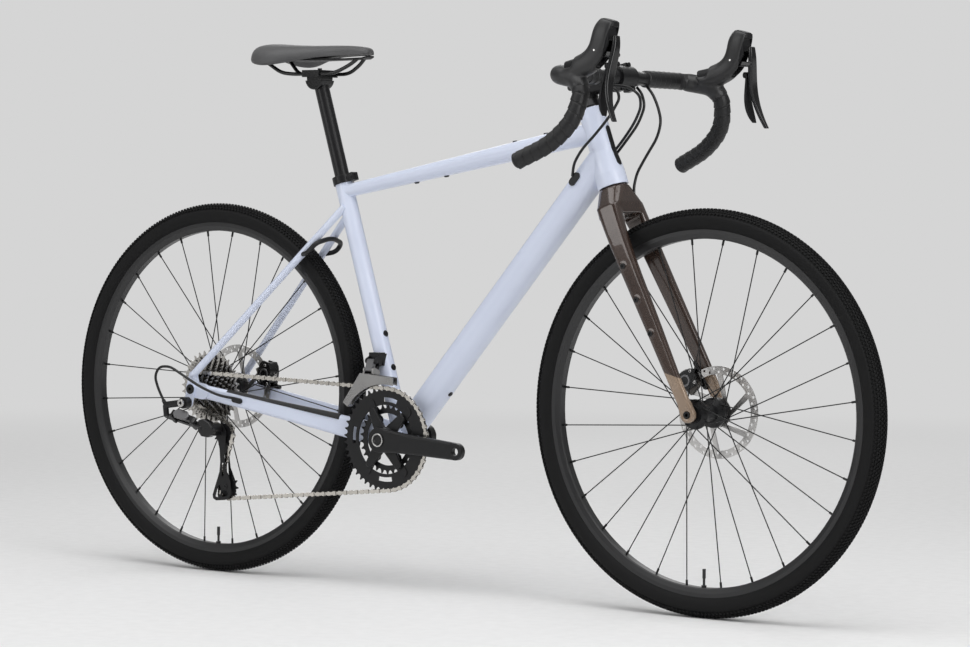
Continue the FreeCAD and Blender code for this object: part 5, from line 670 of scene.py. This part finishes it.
def lever_pins():
    """Pin heads on both sides of each hood, seated where a ray from outside meets it."""
    tree = surface_tree(("lever_hoods", "shifter_bodies"))
    pins = []
    for hand in (-1, 1):
        for side in (-1, 1):
            start = BAR_CENTRE + PIN_OFFSET + Y_AXIS * (hand * HOOD_MIDDLE + side * RAY_START)
            hit = tree.ray_cast(start, Y_AXIS * -side)[0]
            pins.append(turned(LEVER_PIN, hit, Y_AXIS * side, BOLT_SIDES))
    detail("lever_pins", pins, "silver", "steering", "silver_alloy")


# Rounded skins: piece, node, paint, body, slot, voxel in millimetres, smoothing passes

SOFTENED = (
    ("hood_skin", "lever_hoods", "hood", "steering", "hood_rubber", 1.2, 60),
    ("shifter_skin", "shifter_bodies", "plastic", "steering", "black_plastic", 1.1, 5),
    ("lever_skin_right", "brake_lever_right", "gloss_black", "lever_right", "black_alloy", 0.7, 9),
    ("lever_skin_left", "brake_lever_left", "gloss_black", "lever_left", "black_alloy", 0.7, 9),
    ("paddle_skin_right", "shift_paddle_right", "plastic", "paddle_right", "black_plastic", 0.6, 6),
    ("paddle_skin_left", "shift_paddle_left", "plastic", "paddle_left", "black_plastic", 0.6, 6),
    ("fork_skin", "fork", "fork", "steering", "fork_paint", 1.6, 10),
    ("crank_skin", "crank_arms", "black", "crank", "black_alloy", 1.0, 4),
    ("mech_hanger_skin", "rear_mech_b_knuckle", "black", "rear_mech_b", "black_alloy", 0.6, 6),
    ("mech_knuckle_skin", "rear_mech_p_knuckle", "black", "rear_mech_p", "black_alloy", 0.6, 6),
    ("seatstay_skin", "seatstays", "frame", "frame", "frame_paint", 0.9, 3),
    ("clamp_skin", "seat_clamp", "black", "frame", "black_alloy", 0.5, 5),
)
RELAX_SHARE = 0.5

SLEEVE_SPAN = (0.122, 0.200)
SLEEVE_RADIUS = 16.6 * MM
SLEEVE_TAPER = 12.0 * MM
SLEEVE_THINNING = 1.4 * MM
HOOD_REAR = 50.0 * MM
RAMP_HEIGHT = -6.8 * MM
HOOD_REAR_SHARE = 0.58


def hood_sleeves(mesh):
    """Lowers the hoods' rear edge onto the bar and adds the rubber that wraps the bar there."""
    shape = bmesh.new()
    shape.from_mesh(mesh)
    for vertex in shape.verts:
        from_bar = vertex.co - BAR_CENTRE
        if from_bar.x < HOOD_REAR and from_bar.z > RAMP_HEIGHT:
            vertex.co.z = BAR_CENTRE.z + RAMP_HEIGHT + (from_bar.z - RAMP_HEIGHT) * HOOD_REAR_SHARE
    first_end, last_end = SLEEVE_SPAN
    for hand in (-1, 1):
        line = bar_line(hand)
        frames = carried_frames(line, X_AXIS)
        rows = []
        for k, (place, (_, side, up)) in enumerate(zip(line, frames)):
            along = k * TAPE_STEP
            if first_end <= along <= last_end:
                from_end = min(along - first_end, last_end - along)
                radius = SLEEVE_RADIUS - SLEEVE_THINNING * max(0.0, 1 - from_end / SLEEVE_TAPER) ** 2
                row = []
                for j in range(TAPE_SIDES):
                    angle = 2 * math.pi * j / TAPE_SIDES
                    outward = side * math.cos(angle) + up * math.sin(angle)
                    row.append(shape.verts.new(place + outward * radius))
                rows.append(row)
        for first, second in zip(rows, rows[1:]):
            for j in range(TAPE_SIDES):
                m = (j + 1) % TAPE_SIDES
                shape.faces.new((first[j], first[m], second[m], second[j]))
        shape.faces.new(list(reversed(rows[0])))
        shape.faces.new(rows[-1])
    bmesh.ops.recalc_face_normals(shape, faces=shape.faces)
    shape.to_mesh(mesh)
    shape.free()


def softened(name, node, paint, body, slot, voxel, passes):
    """Skin over a node with its sharp edges and corners worn round."""
    mesh = nodes[node].data.copy()
    mesh.materials.clear()
    mesh.materials.append(PAINT[paint])
    if node == "lever_hoods":
        hood_sleeves(mesh)
    piece = bpy.data.objects.new(name, mesh)
    bpy.context.scene.collection.objects.link(piece)
    remesh = piece.modifiers.new("remesh", "REMESH")
    remesh.mode = "VOXEL"
    remesh.voxel_size = voxel * MM
    remesh.use_smooth_shade = True
    relax = piece.modifiers.new("relax", "SMOOTH")
    relax.factor = RELAX_SHARE
    relax.iterations = passes
    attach(piece, body)
    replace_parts(piece, node)


# Tyres

TYRE_MIDDLE = 0.331
CARCASS_RADIUS = 18.0 * MM
SIDEWALL_RADIUS = 19.7 * MM
BEAD_RADIUS = 0.3172
BEAD_DEPTH = 3 * MM
BEAD_HALF = 11.2 * MM
TREAD_HALF_ANGLE = 62.0
SHOULDER_ANGLE = 14.0
RIDGE_HEIGHT = 0.35 * MM
RIDGE_FROM_BEAD = 12.0
RIDGE_WIDTH = 2.2
OUTLINE_STEPS = 56
TYRE_STEPS = 288

# Knob rows: angle from the crown in degrees, height in millimetres
KNOB_PLACES = ((0.0, 2.3), (13.5, 2.3), (27.0, 2.4), (40.5, 2.7), (55.0, 3.2))
KNOB_LENGTH = 4.6 * MM
KNOB_WIDTH = 3.3 * MM
KNOB_TAPER = 0.78
KNOB_SLANT = 24.0
KNOB_ROOT = 0.6 * MM


def carcass_outline():
    """Cross-section of the tyre from one bead over the crown to the other: wheel radius and side."""
    end = math.degrees(math.acos((BEAD_RADIUS - TYRE_MIDDLE) / SIDEWALL_RADIUS))
    outline = []
    for k in range(OUTLINE_STEPS + 1):
        angle = -end + 2 * end * k / OUTLINE_STEPS
        size = abs(angle)
        rise = min(1.0, max(0.0, (size - TREAD_HALF_ANGLE) / SHOULDER_ANGLE))
        rise = rise * rise * (3 - 2 * rise)
        radius = CARCASS_RADIUS + (SIDEWALL_RADIUS - CARCASS_RADIUS) * rise
        radius += RIDGE_HEIGHT * math.exp(-((size - end + RIDGE_FROM_BEAD) / RIDGE_WIDTH) ** 2)
        lean = math.radians(angle)
        outline.append((TYRE_MIDDLE + radius * math.cos(lean), radius * math.sin(lean)))
    outline.append((BEAD_RADIUS - BEAD_DEPTH, BEAD_HALF))
    outline.append((BEAD_RADIUS - BEAD_DEPTH, -BEAD_HALF))
    return outline


def tyre(name, axle, body):
    """Smooth carcass with flat-sided knobs, every second row of them half a step on."""
    outline = carcass_outline()
    points = []
    for step in range(TYRE_STEPS):
        turn = 2 * math.pi * step / TYRE_STEPS
        for radius, side in outline:
            points.append(axle + Vector((radius * math.cos(turn), side, radius * math.sin(turn))))
    faces = ring_faces(TYRE_STEPS, len(outline), closed=True)
    for step in range(TYRE_STEPS):
        for row, (lean, height) in enumerate(KNOB_PLACES):
            for side in (-1, 1) if lean else (1,):
                add_knob(points, faces, axle, step + 0.5 * (row % 2), lean * side, height * MM)
    piece = make_piece(name, points, faces, "tyre", body)
    carcass_faces = len(outline) * TYRE_STEPS
    smooth = [k < carcass_faces for k in range(len(faces))]
    piece.data.polygons.foreach_set("use_smooth", smooth)
    return piece


def add_knob(points, faces, axle, step, lean, height):
    """One tapered block without a floor. Beside the crown it is turned off the rolling direction."""
    turn = 2 * math.pi * step / TYRE_STEPS
    tilt = math.radians(lean)
    out = Vector((math.cos(turn) * math.cos(tilt), math.sin(tilt), math.sin(turn) * math.cos(tilt)))
    ahead = Vector((-math.sin(turn), 0.0, math.cos(turn)))
    across = out.cross(ahead)
    slant = math.radians(KNOB_SLANT) * (1 if lean > 0 else -1 if lean < 0 else 0)
    long_way = ahead * math.cos(slant) + across * math.sin(slant)
    wide_way = out.cross(long_way)
    middle = axle + Vector((math.cos(turn) * TYRE_MIDDLE, 0.0, math.sin(turn) * TYRE_MIDDLE))
    start = len(points)
    for rise, share in ((CARCASS_RADIUS - KNOB_ROOT, 1.0), (CARCASS_RADIUS + height, KNOB_TAPER)):
        for a, b in ((-1, -1), (1, -1), (1, 1), (-1, 1)):
            points.append(middle + out * rise + long_way * (a * share * KNOB_LENGTH / 2)
                          + wide_way * (b * share * KNOB_WIDTH / 2))
    faces.append((start + 4, start + 5, start + 6, start + 7))
    for k in range(4):
        m = (k + 1) % 4
        faces.append((start + k, start + m, start + 4 + m, start + 4 + k))


# Bar tape: the route gives the bends of the right side in millimetres from the bar's middle

BAR_ROUTE = ((-4, -206, 0), (70, -214, -14), (60, -233, -82), (20, -243, -121), (-43, -254, -150))
TAPE_START = 72.0
TAPE_RADIUS = 14.1 * MM
TAPE_STEP = 0.9 * MM
TAPE_PITCH = 16.5 * MM
TAPE_SEAM = 0.13
TAPE_SWELL = 1.3 * MM
TAPE_GROOVE = 0.8 * MM
TAPE_SIDES = 40
TAPE_INNER_ROUND = 1.6 * MM
TAPE_INNER_REACH = 3 * MM
TAPE_OUTER_ROUND = 2.2 * MM
TAPE_OUTER_REACH = 4 * MM
PLUG_RINGS = ((1.6 * MM, 0.72), (2.6 * MM, 0.42))
CORNER_SHARE = 0.45
ARC_STEPS = 24


def rounded_line(points, spacing):
    """Evenly spaced points on straight runs joined by tangent arcs."""
    dense = [points[0]]
    for before, corner, after in zip(points, points[1:], points[2:]):
        back = (before - corner).normalized()
        ahead = (after - corner).normalized()
        half_turn = (math.pi - back.angle(ahead)) / 2
        reach = CORNER_SHARE * min((before - corner).length, (after - corner).length)
        radius = reach / math.tan(half_turn)
        inward = (back + ahead).normalized()
        centre = corner + inward * (radius / math.cos(half_turn))
        side = (ahead * reach - back * reach).normalized()
        for k in range(ARC_STEPS + 1):
            angle = -half_turn + 2 * half_turn * k / ARC_STEPS
            dense.append(centre - inward * radius * math.cos(angle) + side * radius * math.sin(angle))
    dense.append(points[-1])
    lengths = [0.0]
    for a, b in zip(dense, dense[1:]):
        lengths.append(lengths[-1] + (b - a).length)
    count = int(lengths[-1] / spacing)
    line = []
    k = 0
    for step in range(count + 1):
        wanted = lengths[-1] * step / count
        while k < len(lengths) - 2 and lengths[k + 1] < wanted:
            k += 1
        span = max(lengths[k + 1] - lengths[k], 1e-9)
        line.append(dense[k].lerp(dense[k + 1], (wanted - lengths[k]) / span))
    return line


def carried_frames(line, first_side):
    """Direction, side and up at each point of a line, turned as little as possible."""
    frames = []
    side = first_side
    for k in range(len(line)):
        ahead = (line[min(k + 1, len(line) - 1)] - line[max(k - 1, 0)]).normalized()
        side = (side - ahead * side.dot(ahead)).normalized()
        frames.append((ahead, side, ahead.cross(side)))
    return frames


def bar_line(hand):
    """Middle line of the taped part of one side of the bar."""
    bend_x, bend_y, _ = BAR_ROUTE[0]
    first = (bend_x * TAPE_START / -bend_y, -TAPE_START, 0.0)
    route = [BAR_CENTRE + Vector((x, -hand * y, z)) * MM for x, y, z in (first,) + BAR_ROUTE]
    return rounded_line(route, TAPE_STEP)


def bar_tape(name, hand):
    """Wound tape with a raised edge on each turn, closed by the plug at the bar's end."""
    line = bar_line(hand)
    frames = carried_frames(line, X_AXIS)
    points = []
    for k, (place, (_, side, up)) in enumerate(zip(line, frames)):
        along = k * TAPE_STEP
        from_end = (len(line) - 1 - k) * TAPE_STEP
        end_round = TAPE_OUTER_ROUND * max(0.0, 1 - from_end / TAPE_OUTER_REACH) ** 2
        start_round = TAPE_INNER_ROUND * max(0.0, 1 - along / TAPE_INNER_REACH) ** 2
        for j in range(TAPE_SIDES):
            angle = 2 * math.pi * j / TAPE_SIDES
            phase = (along / TAPE_PITCH - hand * j / TAPE_SIDES) % 1.0
            swell = TAPE_SWELL * phase if phase > TAPE_SEAM else -TAPE_GROOVE * (1 - phase / TAPE_SEAM)
            reach = TAPE_RADIUS + swell - end_round - start_round
            points.append(place + (side * math.cos(angle) + up * math.sin(angle)) * reach)
    faces = ring_faces(len(line), TAPE_SIDES)
    count = len(line)
    ahead, side, up = frames[-1]
    for drop, share in PLUG_RINGS:
        for j in range(TAPE_SIDES):
            angle = 2 * math.pi * j / TAPE_SIDES
            outward = side * math.cos(angle) + up * math.sin(angle)
            points.append(line[-1] + ahead * drop + outward * (TAPE_RADIUS * share))
    faces += [tuple(f + (count - 1) * TAPE_SIDES for f in face) for face in ring_faces(3, TAPE_SIDES)]
    faces.append(tuple((count + 1) * TAPE_SIDES + j for j in range(TAPE_SIDES)))
    faces.append(tuple(reversed(range(TAPE_SIDES))))
    return make_piece(name, points, faces, "tape", "steering")


# Saddle cover: stations give x, half width, edge height and top height in millimetres from the cradle

SADDLE_STATIONS = (
    (-135.0, 26.0, 42.0, 55.0),
    (-131.0, 42.0, 37.0, 59.0),
    (-118.0, 61.0, 29.0, 64.0),
    (-100.0, 69.0, 24.0, 66.0),
    (-78.0, 71.0, 22.0, 65.0),
    (-52.0, 64.0, 25.0, 63.0),
    (-22.0, 47.0, 31.0, 61.5),
    (10.0, 33.0, 37.0, 60.5),
    (45.0, 24.5, 39.5, 60.5),
    (80.0, 20.5, 40.0, 59.5),
    (106.0, 18.5, 40.5, 57.0),
    (117.0, 15.5, 41.5, 54.5),
    (121.5, 8.0, 44.0, 51.0),
)
SADDLE_FLOOR = 37.4
SADDLE_DIP = 0.6
SADDLE_LIP = 1.2
SADDLE_SKIRT = (2.0, 6.0)
SUBDIVISIONS = 2


def saddle_section(edge, top):
    """Half of the cover's cross-section, from mid-top to mid-underside: share of the half width, height."""
    height = top - edge
    least, most = SADDLE_SKIRT
    floor = max(SADDLE_FLOOR, edge + least)
    return (
        (0.0, top - SADDLE_DIP), (0.22, top), (0.45, top - 0.04 * height), (0.66, top - 0.12 * height),
        (0.83, top - 0.28 * height), (0.94, top - 0.5 * height), (0.995, top - 0.76 * height),
        (1.0, edge + 0.08 * height), (0.965, edge), (0.91, edge + SADDLE_LIP),
        (0.86, min(floor, edge + most)), (0.80, floor), (0.4, floor), (0.0, floor),
    )


def saddle_cover():
    points = []
    for x, half, edge, top in SADDLE_STATIONS:
        right = saddle_section(edge, top)
        ring = [(share * half, z) for share, z in right]
        ring += [(-share * half, z) for share, z in reversed(right[1:-1])]
        sides = len(ring)
        points += [CRADLE_CENTRE + Vector((x, y, z)) * MM for y, z in ring]
    rows = len(SADDLE_STATIONS)
    faces = ring_faces(rows, sides)
    faces.append(tuple(reversed(range(sides))))
    faces.append(tuple((rows - 1) * sides + k for k in range(sides)))
    piece = make_piece("saddle_skin", points, faces, "leather", "saddle")
    subdivision = piece.modifiers.new("smooth", "SUBSURF")
    subdivision.levels = SUBDIVISIONS
    subdivision.render_levels = SUBDIVISIONS
    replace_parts(piece, "saddle_cover")


# Main sequence

make_camera()
make_stage()
make_light()
make_materials()
paint_nodes()
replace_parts(tyre("front_tyre_knobbed", FRONT_AXLE, "front_wheel"), "front_tyre")
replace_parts(tyre("rear_tyre_knobbed", REAR_AXLE, "rear_wheel"), "rear_tyre")
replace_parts(bar_tape("bar_tape_right", -1), "bar_tape")
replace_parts(bar_tape("bar_tape_left", 1), "bar_tape")
saddle_cover()
for entry in SOFTENED:
    softened(*entry)
bolts_and_caps()
rear_derailleur()
caliper(*REAR_CALIPER)
caliper(*FRONT_CALIPER)
lever_pins()
